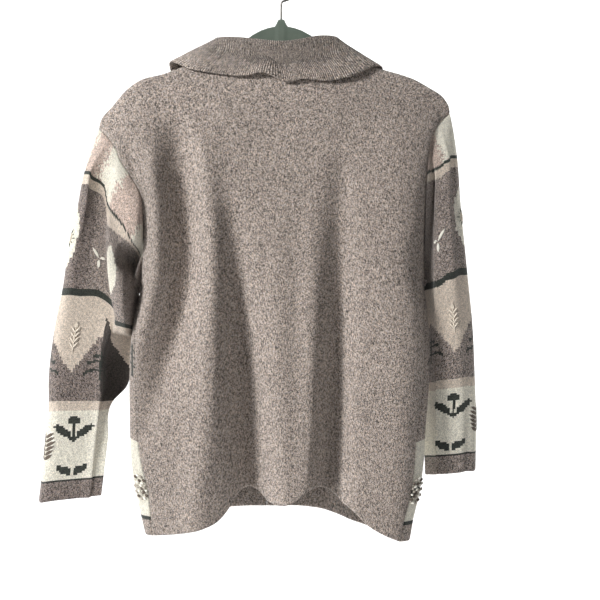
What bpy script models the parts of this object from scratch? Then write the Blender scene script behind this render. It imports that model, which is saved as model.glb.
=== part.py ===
"""Knitted cardigan on a slim hanger, hanging from the hanger's hook.

Metres, +Z up.  The origin is the top of the hook's inside, where a rod carries it.
The garment's back faces -Y and its front +Y; the wearer's left side is at -X.
Tables are in millimetres from the origin and MM turns them into metres.
Every cloth piece is a grid of points on the cloth's outer face, thickened inwards.
"""
import math
from collections import namedtuple

import bmesh
import bpy
import numpy as np
from mathutils.bvhtree import BVHTree

MM = 0.001

# driving sizes, in millimetres
WALL = 2.5              # knitted cloth
THIN_WALL = 1.1         # the least it may be pressed to in a tight fold
PRESS = 0.88            # how much a tight place is thinned in one round
PRESS_ROUNDS = 14
SEAM = 0.3              # gap between pieces that are sewn together
ROLL = 8.0              # radius of the cloth over the shoulder ridge
HANG = 60.0             # height over which the cloth falls from the ridge to its full depth
SETTLE = 30.0           # height over which the cloth takes up the ridge's unevenness
BAND_WIDTH = 25.0       # front bands
BUTTON_RADIUS = 9.0
BUTTON_HEIGHT = 3.5
BUTTON_COUNT = 5
BAR_THICKNESS = 6.0     # hanger bar, front to back
BAR_REACH = 216.0       # half its length
BAR_HEIGHT = 27.0       # at the middle
BAR_TIP_HEIGHT = 14.0
BAR_TIP = 14.0          # length of its rounded ends
BAR_CHAMFER = 1.4
NECK_HALF = 3.4         # half width of the neck on the bar, at its top
NECK_FOOT = 9.0         # and at its foot
WIRE_RADIUS = 1.5       # hook wire
HOOK_RADIUS = 16.5      # inside of the hook
HOOK_START = -60.0      # angles at which its round part starts and ends, from +X
HOOK_END = 191.0
HOOK_STEP = 13.5
STEM_BEND = 5.0         # radius of the bend between the stem and the round part
BUTTON_TOP = 22.0       # first button's distance below the neck
BUTTON_PITCH = 122.0
NECK_TOP = -59.5        # top of the bar's neck, where the wire stands
REST = 1.9              # the cloth's clearance over the bar
MITRE = 0.55            # limit on how far a wall's corner reaches at a sharp bend
CENTRE_X = -8.0         # middle of the front bands

# rows of the mesh: fractions of the way from the shoulder to the hem
UNDERARM = 0.41
ROWS_ABOVE = (0.0, 0.006, 0.02, 0.05, 0.085, 0.125, 0.17, 0.22, 0.28, 0.345, UNDERARM)
ROWS_BELOW = (0.475, 0.545, 0.63, 0.72, 0.81, 0.905, 1.0)
ROWS = ROWS_ABOVE + ROWS_BELOW

# columns of the mesh, counted between seams
SHOULDER_COLUMNS = 9
BACK_NECK_COLUMNS = 10
FRONT_NECK_COLUMNS = 5
NECK_LEFT = 0.355       # where the neck starts and ends, as fractions of the back's width
NECK_RIGHT = 0.671
FRONT_NECK = 0.70       # where the neck starts, as a fraction of a front's width
SLEEVE_RINGS = (0.0, 0.035, 0.085, 0.14, 0.21, 0.285, 0.365, 0.445, 0.53, 0.61, 0.70, 0.83, 1.0)

# the shoulder ridge seen from behind, wearer's left tip to right tip; the middle is the neck
Ridge = namedtuple("Ridge", "x z")
RIDGE = [
    Ridge(-253, -211), Ridge(-250, -199), Ridge(-232, -177), Ridge(-214, -156), Ridge(-193, -142),
    Ridge(-166, -135), Ridge(-130, -122), Ridge(-95, -108), Ridge(-50, -80), Ridge(-6, -68),
    Ridge(40, -80), Ridge(83, -106), Ridge(110, -117), Ridge(140, -128), Ridge(163, -134.5),
    Ridge(182, -141), Ridge(204, -153), Ridge(225, -167.5), Ridge(232, -179), Ridge(234, -190),
]
BACK_NECK_DROP = 127.0  # below the origin, at the middle of the back

# armhole and side seam of the back: down is the fraction of the way to the hem
Edge = namedtuple("Edge", "down x z depth")
BACK_LEFT = [
    Edge(0.000, -253, -211, 8), Edge(0.027, -241, -222, 20), Edge(0.067, -227, -241, 25),
    Edge(0.092, -221, -255, 28), Edge(0.147, -203, -282, 33), Edge(0.186, -192, -303, 35),
    Edge(0.234, -189, -332, 31), Edge(0.291, -189, -366, 23), Edge(0.360, -192, -407, 16),
    Edge(0.410, -195, -437, 12), Edge(0.477, -199, -475, 25), Edge(0.533, -200, -507, 32),
    Edge(0.611, -199, -551, 36), Edge(0.692, -198, -597, 37), Edge(0.783, -195, -649, 38),
    Edge(0.908, -181, -719, 38), Edge(1.000, -176, -770, 38),
]
BACK_RIGHT = [
    Edge(0.000, 234, -190, 8), Edge(0.035, 219, -204, 18), Edge(0.071, 208, -222, 26),
    Edge(0.105, 204, -242, 30), Edge(0.154, 200, -270, 30), Edge(0.223, 198, -311, 27),
    Edge(0.281, 197, -345, 22), Edge(0.338, 196, -379, 15), Edge(0.410, 195, -421, 10),
    Edge(0.477, 195, -462, 24), Edge(0.544, 195, -503, 33), Edge(0.656, 192, -571, 37),
    Edge(0.756, 190, -632, 38), Edge(0.841, 185, -684, 38), Edge(0.897, 178, -717, 38),
    Edge(0.949, 168, -747, 38), Edge(1.000, 162, -777, 38),
]

# front edges of the armholes; the underarm row is taken from the back
FRONT_ARMHOLE = {
    -1: [Edge(0.00, -253, -211, 8), Edge(0.03, -244, -222, 18), Edge(0.07, -233, -243, 22),
         Edge(0.15, -221, -282, 26), Edge(0.23, -211, -325, 26), Edge(0.31, -203, -370, 20),
         Edge(0.36, -198, -405, 8)],
    1: [Edge(0.00, 234, -190, 8), Edge(0.03, 225, -203, 16), Edge(0.07, 216, -222, 22),
        Edge(0.15, 207, -268, 32), Edge(0.23, 202, -312, 34), Edge(0.31, 199, -360, 28),
        Edge(0.36, 197, -392, 14)],
}

# depth of the middle of the back and of the fronts
Depth = namedtuple("Depth", "down back front centre")
DEPTHS = [
    Depth(0.00, 38, 36, 42), Depth(0.12, 44, 40, 45), Depth(0.41, 52, 45, 49),
    Depth(0.70, 56, 47, 50), Depth(1.00, 58, 46, 48),
]

# the back's hem seen from behind
Hem = namedtuple("Hem", "x z")
BACK_HEM = [
    Hem(-176, -770), Hem(-148, -767), Hem(-126, -763), Hem(-103, -757), Hem(-85, -748),
    Hem(-70, -731), Hem(-60, -714), Hem(-46, -704), Hem(-32, -709), Hem(-18, -723), Hem(0, -727),
    Hem(18, -722), Hem(34, -710), Hem(50, -703), Hem(66, -708), Hem(82, -723), Hem(99, -736),
    Hem(118, -754), Hem(140, -767), Hem(162, -777),
]

# how far the fronts wrap round the side seams: the outline past the seam
Wrap = namedtuple("Wrap", "down left right")
WRAPS = [
    Wrap(0.00, 0, 0), Wrap(0.41, 0, 0), Wrap(0.48, 2.5, 3), Wrap(0.55, 7, 7), Wrap(0.62, 10.5, 9),
    Wrap(0.78, 14, 11), Wrap(0.90, 20, 12), Wrap(1.00, 12, 15),
]

# one front across, from its side seam to its front edge: across is the way to the middle,
# lap is the outward bulge in wraps, rise is the way from the seam's depth to the front's
Across = namedtuple("Across", "u across lap rise")
FRONT_ACROSS = {
    -1: [Across(0, 0, 0, 0), Across(0.08, 0.0, 0.8, 0.13), Across(0.16, 0.01, 1.0, 0.36),
         Across(0.24, 0.05, 0.9, 0.60), Across(0.32, 0.12, 0.6, 0.80), Across(0.42, 0.24, 0.3, 0.93),
         Across(0.55, 0.42, 0.1, 1.0), Across(0.75, 0.68, 0, 1.03), Across(1, 1, 0, 1.05)],
    1: [Across(0, 0, 0, 0), Across(0.08, 0.0, 0.9, 0.13), Across(0.16, 0.03, 0.9, 0.27),
        Across(0.24, 0.12, 0.5, 0.45), Across(0.32, 0.21, 0.2, 0.64), Across(0.42, 0.32, 0, 0.80),
        Across(0.55, 0.47, 0, 0.93), Across(0.75, 0.72, 0, 1.0), Across(1, 1, 0, 1.05)],
}

# front neck from the ridge to the front edge
Neck = namedtuple("Neck", "t x z")
FRONT_NECKLINE = {
    -1: [Neck(0, -95, -108), Neck(0.25, -92, -132), Neck(0.5, -80, -162), Neck(0.75, -55, -188),
         Neck(1, CENTRE_X - BAND_WIDTH / 2, -200)],
    1: [Neck(0, 83, -106), Neck(0.25, 79, -131), Neck(0.5, 66, -162), Neck(0.75, 40, -188),
        Neck(1, CENTRE_X + BAND_WIDTH / 2, -200)],
}
FRONT_HEM_CENTRE = -738.0

# folds run down a panel: x at the start, middle and end; a ridge has negative depth
Fold = namedtuple("Fold", "top bottom x0 x1 x2 width0 width1 depth0 depth1 depth2")
BACK_FOLDS = [
    Fold(-205, -660, -166, -150, -184, 12, 12, 4, 14, 3),      # trough by the left rim
    Fold(-285, -800, -92, -70, -42, 12, 17, 2, 13, 32),        # trough left of the middle
    Fold(-265, -800, 77, 53, 45, 11, 15, 2, 12, 32),           # trough right of the middle
    Fold(-235, -800, -122, -118, -144, 11, 20, -4, -9, -8),    # ridge between the left troughs
    Fold(-360, -800, -26, -17, -16, 8, 9, -1, -6, -11),        # narrow ridge at the middle
    Fold(-225, -800, 116, 101, 100, 22, 28, -2, -9, -8),       # broad ridge on the right
    Fold(-210, -500, -182, -183, -193, 7, 7, -5, -9, -3),      # rim beside the left sleeve
    Fold(-212, -300, -211, -204, -197, 7, 6, 2, 4, 1),         # dimple at the left armhole
]
FRONT_FOLDS = {
    -1: [Fold(-230, -800, -150, -132, -120, 13, 17, -2, -10, -16),
         Fold(-300, -800, -95, -84, -70, 12, 16, 2, 7, 9)],
    1: [Fold(-250, -800, 128, 112, 96, 13, 17, -2, -9, -17),
        Fold(-330, -800, 80, 66, 58, 12, 15, 2, 6, 9)],
}

# sleeve sections from the armhole to the cuff.  outer is the sleeve's top fold, turn is where
# its lit face turns away, crease is the edge of the underarm pleat, inner is the underarm.
# mid is the depth of the top fold, back and front the cloth's reach from it, rise how far the
# pleat stands out, hollow how far the valley beside it goes in
Section = namedtuple("Section", "s outer_x outer_z turn_x turn_z crease_x crease_z "
                                "inner_x inner_y inner_z mid back rise hollow front")
SLEEVE_SECTIONS = {
    -1: [
        Section(0.000, -253, -211, -248, -216, -242, -226, -193, -12, -437, 0, 16, 4, 2, 16),
        Section(0.040, -260, -231, -251, -239, -240, -252, -197.5, -14.5, -441, -2, 22, 8, 3, 20),
        Section(0.123, -273, -273, -249, -287, -237, -319, -203, -18, -447, -5, 26, 13, 5, 24),
        Section(0.220, -283, -325, -250, -337, -240, -366, -206, -23, -456, -6, 27, 15, 8, 25),
        Section(0.330, -295, -381, -251, -388, -237, -424, -206, -27, -471, -6, 27, 14, 9, 25),
        Section(0.446, -303, -435, -250, -439, -228, -478, -208, -32, -489, -6, 27, 8, 10, 25),
        Section(0.530, -312, -479, -250, -481, -224, -502, -208, -34, -512, -6, 27, 3, 9, 25),
        Section(0.620, -319, -526, -250, -528, -230, -536, -209, -34, -543, -6, 27, -6, 3, 24),
        Section(0.690, -322, -562, -252, -564, -238, -568, -220, -24, -570, -5, 25, -6, 2, 23),
        Section(0.736, -322, -588, -256, -588, -246, -589, -233, -14, -588, -4, 22, -5, 2, 21),
        Section(0.850, -327, -648, -266, -646, -256, -645, -240, -8, -643, -3, 18, -3, 1, 18),
        Section(1.000, -336, -727, -278, -722, -264, -720, -249, -3, -718, -2, 13, -2, 0, 13),
    ],
    1: [
        Section(0.000, 234, -190, 227, -196, 220, -205, 196, -10, -421, 0, 16, 0, 0, 24),
        Section(0.050, 239, -215, 227, -224, 217, -243, 200, -9, -424, 5, 22, 0, 1, 28),
        Section(0.120, 244, -249, 220, -261, 213, -290, 205, -7, -430, 10, 25, -1, 2, 28),
        Section(0.250, 249, -312, 216, -325, 210, -352, 207, -3, -443, 14, 27, -2, 2, 28),
        Section(0.440, 258, -404, 217, -416, 208, -430, 202, 6, -466, 16, 29, -4, 1, 28),
        Section(0.600, 266, -485, 218, -492, 207, -498, 197, 14, -511, 16, 30, -6, 1, 26),
        Section(0.730, 269, -551, 220, -556, 208, -559, 195, 15, -562, 15, 28, -6, 1, 24),
        Section(0.870, 271, -620, 224, -624, 210, -626, 196, 14, -628, 13, 23, -4, 1, 20),
        Section(1.000, 270, -684, 228, -688, 213, -689, 198, 10, -691, 10, 15, -3, 0, 14),
    ],
}
SLEEVE_HEAD = 0.14      # the part of a sleeve that takes up the armhole's shape
CREASE_POINT = 6        # place of the crease among a section's points on the back
CREASE_INDEX = 8        # and among the points of a ring
DIMPLE = dict(x=-208, z=-408, half_width=12, half_height=24, depth=16)   # hollow in the pleat

# top of the hanger bar inside the neck; past the last row it follows the cloth
Arch = namedtuple("Arch", "x z")
BAR_ARCH = [Arch(0, -68.5), Arch(14, -70), Arch(28, -74.5), Arch(41, -81.5), Arch(50, -88.5),
            Arch(58, -96), Arch(68, -105), Arch(80, -112), Arch(92, -117), Arch(112, -123)]

# collar: stations round the neck from the wearer's left front to right front.
# t is the place on the neck seam, roll is the fold on top, edge is the rim of the fall,
# lift holds the edge off the cloth under it
Station = namedtuple("Station", "t roll_x roll_y roll_z edge_x edge_z lift edge_y")
COLLAR = [
    Station(0.000, -26, 49, -189, -62, -262, 7, None),
    Station(0.060, -56, 44, -175, -95, -234, 6, None),
    Station(0.125, -81, 34, -146, -124, -190, 6, None),
    Station(0.200, -95, 19, -104, -150, -142, None, 28),
    Station(0.250, -92, 1, -87, -155, -117, None, 2),
    Station(0.300, -84, -14, -85.5, -128, -129, 6, None),
    Station(0.360, -62, -23, -86.5, -90, -137, 6, None),
    Station(0.430, -35, -28, -89.5, -50, -141, 7, None),
    Station(0.475, -16, -30, -92, -21, -138, 10, None),
    Station(0.505, -2, -30, -93, 2, -148, 5, None),
    Station(0.570, 23, -28, -90.5, 32, -145.5, 6, None),
    Station(0.640, 52, -22, -84.5, 71, -147, 6, None),
    Station(0.700, 74, -12, -84.5, 108, -136, 7, None),
    Station(0.728, 78.5, -5, -86, 128, -125.5, 7.5, None),
    Station(0.750, 81, 2, -89, 139, -123, None, 0),
    Station(0.800, 80, 19, -104, 137, -148, None, 28),
    Station(0.875, 66, 34, -146, 108, -192, 8, None),
    Station(0.940, 40, 44, -175, 79, -235, 8, None),
    Station(1.000, 10, 52, -189, 46, -262, 8, None),
]
COLLAR_SPARE = 3.0      # allowance for the panels' bulge under the collar
STAND_LEAN = 1.5        # how far the stand leans in
ROLL_IN = (3.2, 2.5)    # the cloth beside the roll, on its neck side: inwards and down
ROLL_OUT = (3.6, 2.0)   # and on its outer side: outwards and down
FALL_PUFF = (2.0, 3.0)  # how the fall bulges: outwards and up
COLLAR_KEYS = (0.0, 0.16, 0.34, 0.46, 0.58, 0.8, 1.0)
COLLAR_ROWS = (0.0, 0.27, 0.42, 0.56, 0.78, 1.0)


def smooth(keys, values, at):
    """A cubic curve through the rows, evaluated at each place, and flat past its ends."""
    keys = np.asarray(keys, float)
    values = np.asarray(values, float)
    at = np.clip(np.asarray(at, float), keys[0], keys[-1])
    slopes = np.gradient(values, keys)
    i = np.clip(np.searchsorted(keys, at, side="right") - 1, 0, len(keys) - 2)
    step = keys[i + 1] - keys[i]
    t = (at - keys[i]) / step
    start = (1 + 2 * t) * (1 - t) ** 2 * values[i] + t * (1 - t) ** 2 * step * slopes[i]
    end = t * t * (3 - 2 * t) * values[i + 1] + t * t * (t - 1) * step * slopes[i + 1]
    return start + end


def column(rows, name):
    return np.array([getattr(row, name) for row in rows], float)


def look_up(rows, key, name, at):
    return smooth(column(rows, key), column(rows, name), at)


def ease(low, high, at):
    t = np.clip((at - low) / (high - low), 0.0, 1.0)
    return t * t * (3 - 2 * t)


def unit(vectors):
    length = np.linalg.norm(vectors, axis=-1, keepdims=True)
    return vectors / np.maximum(length, 1e-9)


def ridge_height(x):
    return look_up(RIDGE, "x", "z", x)


def fall_depth(drop, depth):
    """How far the cloth stands from the ridge's plane, at a drop below the ridge."""
    inside = np.clip(drop, 0.0, ROLL)
    round_part = np.sqrt(np.maximum(ROLL ** 2 - (ROLL - inside) ** 2, 0.0))
    return round_part + (depth - ROLL) * (1 - np.exp(-np.maximum(drop, 0.0) / HANG))


def fold_offset(folds, x, z):
    total = np.zeros(np.broadcast(x, z).shape)
    for fold in folds:
        down = np.clip((fold.top - z) / (fold.top - fold.bottom), 0.0, 1.0)
        middle = smooth((0, 0.5, 1), (fold.x0, fold.x1, fold.x2), down)
        width = fold.width0 + (fold.width1 - fold.width0) * down
        depth = smooth((0, 0.5, 1), (fold.depth0, fold.depth1, fold.depth2), down)
        shown = ease(fold.top + 20, fold.top - 60, z) * ease(fold.bottom - 20, fold.bottom + 40, z)
        total = total + shown * depth * np.exp(-((x - middle) / width) ** 2)
    return total


def shoulder_line(side, t):
    """Points on the ridge from a shoulder tip (t = 0) to the neck (t = 1), evenly spaced."""
    rows = [row for row in RIDGE if (row.x <= -95 if side < 0 else row.x >= 83)]
    if side > 0:
        rows = rows[::-1]
    x, z = column(rows, "x"), column(rows, "z")
    length = np.concatenate([[0], np.cumsum(np.hypot(np.diff(x), np.diff(z)))])
    return smooth(length / length[-1], x, t), smooth(length / length[-1], z, t)


def back_top(u):
    """The back's upper edge: shoulder, neck, shoulder."""
    left_x, left_z = shoulder_line(-1, np.clip(u / NECK_LEFT, 0, 1))
    right_x, right_z = shoulder_line(1, np.clip((1 - u) / (1 - NECK_RIGHT), 0, 1))
    t = np.clip((u - NECK_LEFT) / (NECK_RIGHT - NECK_LEFT), 0, 1)
    neck_x = -95 + (83 + 95) * t
    ends_z = -108 + (-106 + 108) * t
    neck_z = ends_z - (BACK_NECK_DROP - 107) * np.sin(math.pi * t) ** 0.8
    x = np.where(u < NECK_LEFT, left_x, np.where(u > NECK_RIGHT, right_x, neck_x))
    z = np.where(u < NECK_LEFT, left_z, np.where(u > NECK_RIGHT, right_z, neck_z))
    return x, z


def back_point(u, v):
    """Outer face of the back: u from the wearer's left to right, v from shoulder to hem."""
    u, v = np.broadcast_arrays(np.asarray(u, float), np.asarray(v, float))
    top_x, top_z = back_top(u)
    hem_x = BACK_LEFT[-1].x + (BACK_RIGHT[-1].x - BACK_LEFT[-1].x) * u
    hem_z = look_up(BACK_HEM, "x", "z", hem_x)
    x = (1 - v) * top_x + v * hem_x
    z = (1 - v) * top_z + v * hem_z
    near_left, near_right = (1 - u) ** 3, u ** 3
    for rows, near in ((BACK_LEFT, near_left), (BACK_RIGHT, near_right)):
        x = x + near * (look_up(rows, "down", "x", v) - (1 - v) * rows[0].x - v * rows[-1].x)
        z = z + near * (look_up(rows, "down", "z", v) - (1 - v) * rows[0].z - v * rows[-1].z)
    middle = look_up(DEPTHS, "down", "back", v)
    left = look_up(BACK_LEFT, "down", "depth", v)
    right = look_up(BACK_RIGHT, "down", "depth", v)
    to_left = np.clip(1 - u / 0.3, 0, 1) ** 2.4
    to_right = np.clip(1 - (1 - u) / 0.3, 0, 1) ** 2.4
    depth = middle + (left - middle) * to_left + (right - middle) * to_right
    on_ridge = (u < NECK_LEFT) | (u > NECK_RIGHT)
    slip = on_ridge * (ridge_height(top_x) - top_z) * np.exp((z - top_z) / SETTLE)
    y = -fall_depth(ridge_height(x) - z - slip, depth) + fold_offset(BACK_FOLDS, x, z)
    return np.stack([x, y, z], axis=-1)


def side_seam(side, v):
    """The back's side edge, armhole and all."""
    return back_point(0.0 if side < 0 else 1.0, v)


def front_edge(side, v):
    """A front's side edge: its own armhole, then the shared side seam."""
    rows = FRONT_ARMHOLE[side]
    underarm = side_seam(side, UNDERARM)
    keys = np.append(column(rows, "down"), UNDERARM)
    x = smooth(keys, np.append(column(rows, "x"), underarm[0]), v)
    z = smooth(keys, np.append(column(rows, "z"), underarm[2]), v)
    depth = smooth(keys, np.append(column(rows, "depth"), underarm[1]), v)
    y = fall_depth(ridge_height(x) - z, depth)
    y = y + (underarm[1] - y) * ease(0.36, UNDERARM, v)
    armhole = np.stack([x, y, z], axis=-1)
    below = np.asarray(v)[..., None] >= UNDERARM
    return np.where(below, side_seam(side, v), armhole)


def front_top(side, u):
    """A front's upper edge: the shoulder, then the front neck."""
    x, z = shoulder_line(side, np.clip(u / FRONT_NECK, 0, 1))
    t = np.clip((u - FRONT_NECK) / (1 - FRONT_NECK), 0, 1)
    neck_x = look_up(FRONT_NECKLINE[side], "t", "x", t)
    neck_z = look_up(FRONT_NECKLINE[side], "t", "z", t)
    return np.where(u < FRONT_NECK, x, neck_x), np.where(u < FRONT_NECK, z, neck_z)


def centre_line(side, v):
    """The front edge that a band is sewn to; the right one laps over the left."""
    x = np.full(np.shape(v), CENTRE_X + side * BAND_WIDTH / 2)
    y = look_up(DEPTHS, "down", "centre", v) + (WALL + SEAM if side > 0 else 0.0)
    z = FRONT_NECKLINE[side][-1].z * (1 - v) + FRONT_HEM_CENTRE * v
    return np.stack([x, y, z], axis=-1)


def front_point(side, u, v):
    """Outer face of a front: u from its side seam to its front edge."""
    u, v = np.broadcast_arrays(np.asarray(u, float), np.asarray(v, float))
    edge = front_edge(side, v)
    centre = centre_line(side, v)
    rows = FRONT_ACROSS[side]
    wrap = look_up(WRAPS, "down", "left" if side < 0 else "right", v)
    wrapped = ease(ROWS_ABOVE[-2], ROWS_BELOW[0], v)
    across = u + (look_up(rows, "u", "across", u) - u) * wrapped
    lap = look_up(rows, "u", "lap", u)
    level = 1.05 * (1 - (1 - u) ** 2.5)
    rise = level + (look_up(rows, "u", "rise", u) - level) * wrapped
    top_x, top_z = front_top(side, u)
    row_x = edge[..., 0] + (centre[..., 0] - edge[..., 0]) * across + side * wrap * lap
    grow = ease(0.0, 0.5, v)
    x = top_x * (1 - grow) + row_x * grow
    tip_x, tip_z = front_top(side, np.zeros_like(u))
    end_x, end_z = front_top(side, np.ones_like(u))
    x = x + (1 - u) ** 3 * (1 - grow) * (edge[..., 0] - tip_x)
    x = x + u ** 3 * (1 - grow) * (centre[..., 0] - end_x)
    corner_z = side_seam(side, 1.0)[2]
    hem_z = corner_z + (FRONT_HEM_CENTRE - corner_z) * ease(0.0, 0.9, u)
    z = (1 - v) * top_z + v * hem_z
    z = z + ease(1.0, 0.0, u) * (edge[..., 2] - (1 - v) * tip_z - v * corner_z)
    z = z + u ** 3 * (centre[..., 2] - (1 - v) * end_z - v * FRONT_HEM_CENTRE)
    front = look_up(DEPTHS, "down", "front", v)
    depth = edge[..., 1] + (front - edge[..., 1]) * rise
    slip = (u < FRONT_NECK) * (ridge_height(top_x) - top_z) * np.exp((z - top_z) / SETTLE)
    y = fall_depth(ridge_height(x) - z - slip, depth)
    inside = ease(0.05, 0.25, u) * ease(1.0, 0.85, u)
    below = 1 - ease(FRONT_NECK + 0.1, FRONT_NECK, u) * np.exp(2 * (z - top_z) / SETTLE)
    y = y + inside * below * fold_offset(FRONT_FOLDS[side], x, z)
    y_edge = fall_depth(ridge_height(edge[..., 0]) - edge[..., 2], edge[..., 1])
    y = y + np.clip(1 - u / 0.12, 0, 1) ** 2 * (edge[..., 1] - y_edge)
    y_centre = fall_depth(ridge_height(centre[..., 0]) - centre[..., 2],
                          edge[..., 1] + (front - edge[..., 1]) * rows[-1].rise)
    y = y + u ** 4 * below * (centre[..., 1] - y_centre)
    return np.stack([x, y, z], axis=-1)


def resample(points, fractions):
    """Points at the given fractions of a polyline's length."""
    steps = np.linalg.norm(np.diff(points, axis=0), axis=1)
    length = np.concatenate([[0], np.cumsum(steps)])
    at = np.asarray(fractions) * length[-1]
    return np.stack([np.interp(at, length, points[:, k]) for k in range(3)], axis=-1)


def curve_through(points, marked=0, count=160):
    """A dense smooth curve through a few points, and where it passes the marked one."""
    points = np.asarray(points, float)
    steps = np.sqrt(np.linalg.norm(np.diff(points, axis=0), axis=1))
    keys = np.concatenate([[0], np.cumsum(steps)])
    at = np.linspace(0, keys[-1], count)
    curve = np.stack([smooth(keys, points[:, k], at) for k in range(3)], axis=-1)
    return curve, int(np.argmin(np.abs(at - keys[marked])))


def sleeve_section(side, s):
    """A sleeve section: the back from the top fold to the crease and on to the underarm, and
    the front from the top fold to the underarm."""
    rows = SLEEVE_SECTIONS[side]
    row = Section(s, *[float(look_up(rows, "s", name, s)) for name in Section._fields[1:]])
    face = row.mid - row.back
    pleat = face - row.rise
    rim = 14.0 * side
    width = row.inner_x - row.crease_x
    fall = row.inner_z - row.crease_z
    back = [
        (row.outer_x, row.mid, row.outer_z),
        (row.outer_x - 0.3 * rim, row.mid - 0.68 * row.back, row.outer_z - 1),
        (row.outer_x - rim, row.mid - 0.95 * row.back, 0.85 * row.outer_z + 0.15 * row.turn_z),
        ((row.outer_x + row.turn_x) / 2, face - 1, (row.outer_z + row.turn_z) / 2),
        (row.turn_x, face + 1, row.turn_z),
        (row.crease_x, face + row.hollow, (row.turn_z + row.crease_z) / 2),
        (row.crease_x + 0.06 * width, pleat + 0.15 * row.rise, row.crease_z),
        (row.crease_x + 0.30 * width, pleat, row.crease_z + 0.25 * fall),
        (row.crease_x + 0.68 * width, pleat + 0.15 * row.rise, row.crease_z + 0.55 * fall),
        (row.inner_x, (pleat + row.inner_y) / 2, row.crease_z + 0.85 * fall),
        (row.inner_x, row.inner_y, row.inner_z),
    ]
    reach = row.inner_x - row.outer_x
    face = row.mid + row.front
    front = [
        (row.outer_x, row.mid, row.outer_z),
        (row.outer_x + 0.04 * reach, row.mid + 0.7 * row.front, row.outer_z - 1),
        (row.outer_x + 0.20 * reach, face, 0.85 * row.outer_z + 0.15 * row.inner_z),
        (row.outer_x + 0.55 * reach, face, 0.5 * row.outer_z + 0.5 * row.inner_z),
        (row.inner_x - 0.12 * reach, row.inner_y + 0.72 * (face - row.inner_y),
         0.15 * row.outer_z + 0.85 * row.inner_z),
        (row.inner_x, row.inner_y, row.inner_z),
    ]
    back, crease = curve_through(back, CREASE_POINT)
    if side < 0:
        across = (back[:, 0] - DIMPLE["x"]) / DIMPLE["half_width"]
        along = (back[:, 2] - DIMPLE["z"]) / DIMPLE["half_height"]
        back[:, 1] += DIMPLE["depth"] * np.exp(-across ** 2 - along ** 2)
    return back[:crease + 1], back[crease:], curve_through(front)[0]


def sleeve_halves(side, s, fractions):
    """A sleeve ring's halves; near the armhole they turn into the armhole itself."""
    back, front = sleeve_lines(side, s, fractions)
    if s < SLEEVE_HEAD:
        start_back, start_front = sleeve_lines(side, 0.0, fractions)
        keep = 1 - ease(0.0, SLEEVE_HEAD, s)
        back = back + keep * (side_seam(side, fractions * UNDERARM) - start_back)
        front = front + keep * (front_edge(side, fractions * UNDERARM) - start_front)
    return back, front


def sleeve_lines(side, s, fractions):
    """Points along a section; the same one of them is on the crease in every ring."""
    outer, inner, front = sleeve_section(side, s)
    crease = fractions[CREASE_INDEX]
    back = np.concatenate([
        resample(outer, fractions[:CREASE_INDEX] / crease),
        resample(inner, (fractions[CREASE_INDEX:] - crease) / (1 - crease)),
    ])
    return back, resample(front, fractions)


def collar_point(seam, t, w):
    """Neck side of the stand, then the roll, then the outer side of the fall: w runs 0 to 1."""
    stations = column(COLLAR, "t")
    roll = np.stack([smooth(stations, column(COLLAR, name), t)
                     for name in ("roll_x", "roll_y", "roll_z")], axis=-1)
    rims = np.array([rim_point(row) for row in COLLAR])
    rim = np.stack([smooth(stations, rims[:, k], t) for k in range(3)], axis=-1)
    outward = unit((rim - roll) * np.array([1.0, 1.0, 0.0]))
    up = np.array([0.0, 0.0, 1.0])
    stand = 0.5 * (seam + roll) - STAND_LEAN * outward
    fold_in = roll - ROLL_IN[0] * outward - ROLL_IN[1] * up
    fold_out = roll + ROLL_OUT[0] * outward - ROLL_OUT[1] * up
    fall = 0.5 * (roll + rim) + FALL_PUFF[0] * outward + FALL_PUFF[1] * up
    guides = np.stack([seam, stand, fold_in, roll, fold_out, fall, rim])
    return smooth_guides(np.array(COLLAR_KEYS), guides, w)


def smooth_guides(keys, guides, w):
    """Blend guide points across: guides is (rows, ..., 3) and w one fraction."""
    slopes = np.gradient(guides, keys, axis=0)
    i = int(np.clip(np.searchsorted(keys, w, side="right") - 1, 0, len(keys) - 2))
    step = keys[i + 1] - keys[i]
    t = (w - keys[i]) / step
    start = (1 + 2 * t) * (1 - t) ** 2 * guides[i] + t * (1 - t) ** 2 * step * slopes[i]
    end = t * t * (3 - 2 * t) * guides[i + 1] + t * t * (t - 1) * step * slopes[i + 1]
    return start + end


def rim_point(row):
    """The collar rim at a station, lifted off the cloth under it where the row says so."""
    if row.edge_y is not None:
        return (row.edge_x, row.edge_y, row.edge_z)
    under = cloth_depth(row.edge_x, row.edge_z, row.roll_y < 0)
    away = WALL + row.lift
    return (row.edge_x, under - away if row.roll_y < 0 else under + away, row.edge_z)


def cloth_depth(x, z, behind):
    """Depth of the body's outer face at a place near the neck."""
    depth = DEPTHS[0].back if behind else DEPTHS[0].front
    fall = float(fall_depth(ridge_height(x) - z, depth + COLLAR_SPARE))
    return -fall if behind else fall


def grid_offsets(points, wraps, toward):
    """Outward vectors at the grid's points, longer at bends so that the wall keeps its size."""
    ahead = np.roll(points, -1, axis=1) if wraps else points[:, 1:]
    here = points if wraps else points[:, :-1]
    cells = np.cross(ahead[1:] - here[:-1], ahead[:-1] - here[1:])
    middles = 0.25 * (ahead[1:] + here[:-1] + ahead[:-1] + here[1:])
    if np.sum(cells * toward(middles)) < 0:
        cells = -cells
    cells = unit(cells)
    if not wraps:
        cells = np.concatenate([cells[:, :1], cells, cells[:, -1:]], axis=1)
    else:
        cells = np.concatenate([cells[:, -1:], cells], axis=1)
    cells = np.concatenate([cells[:1], cells, cells[-1:]], axis=0)
    corners = [cells[:-1, :-1], cells[:-1, 1:], cells[1:, :-1], cells[1:, 1:]]
    normals = unit(sum(corners))
    facing = sum(np.sum(normals * corner, axis=-1) for corner in corners) / 4
    return normals / np.clip(facing, MITRE, 1.0)[..., None]


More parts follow.
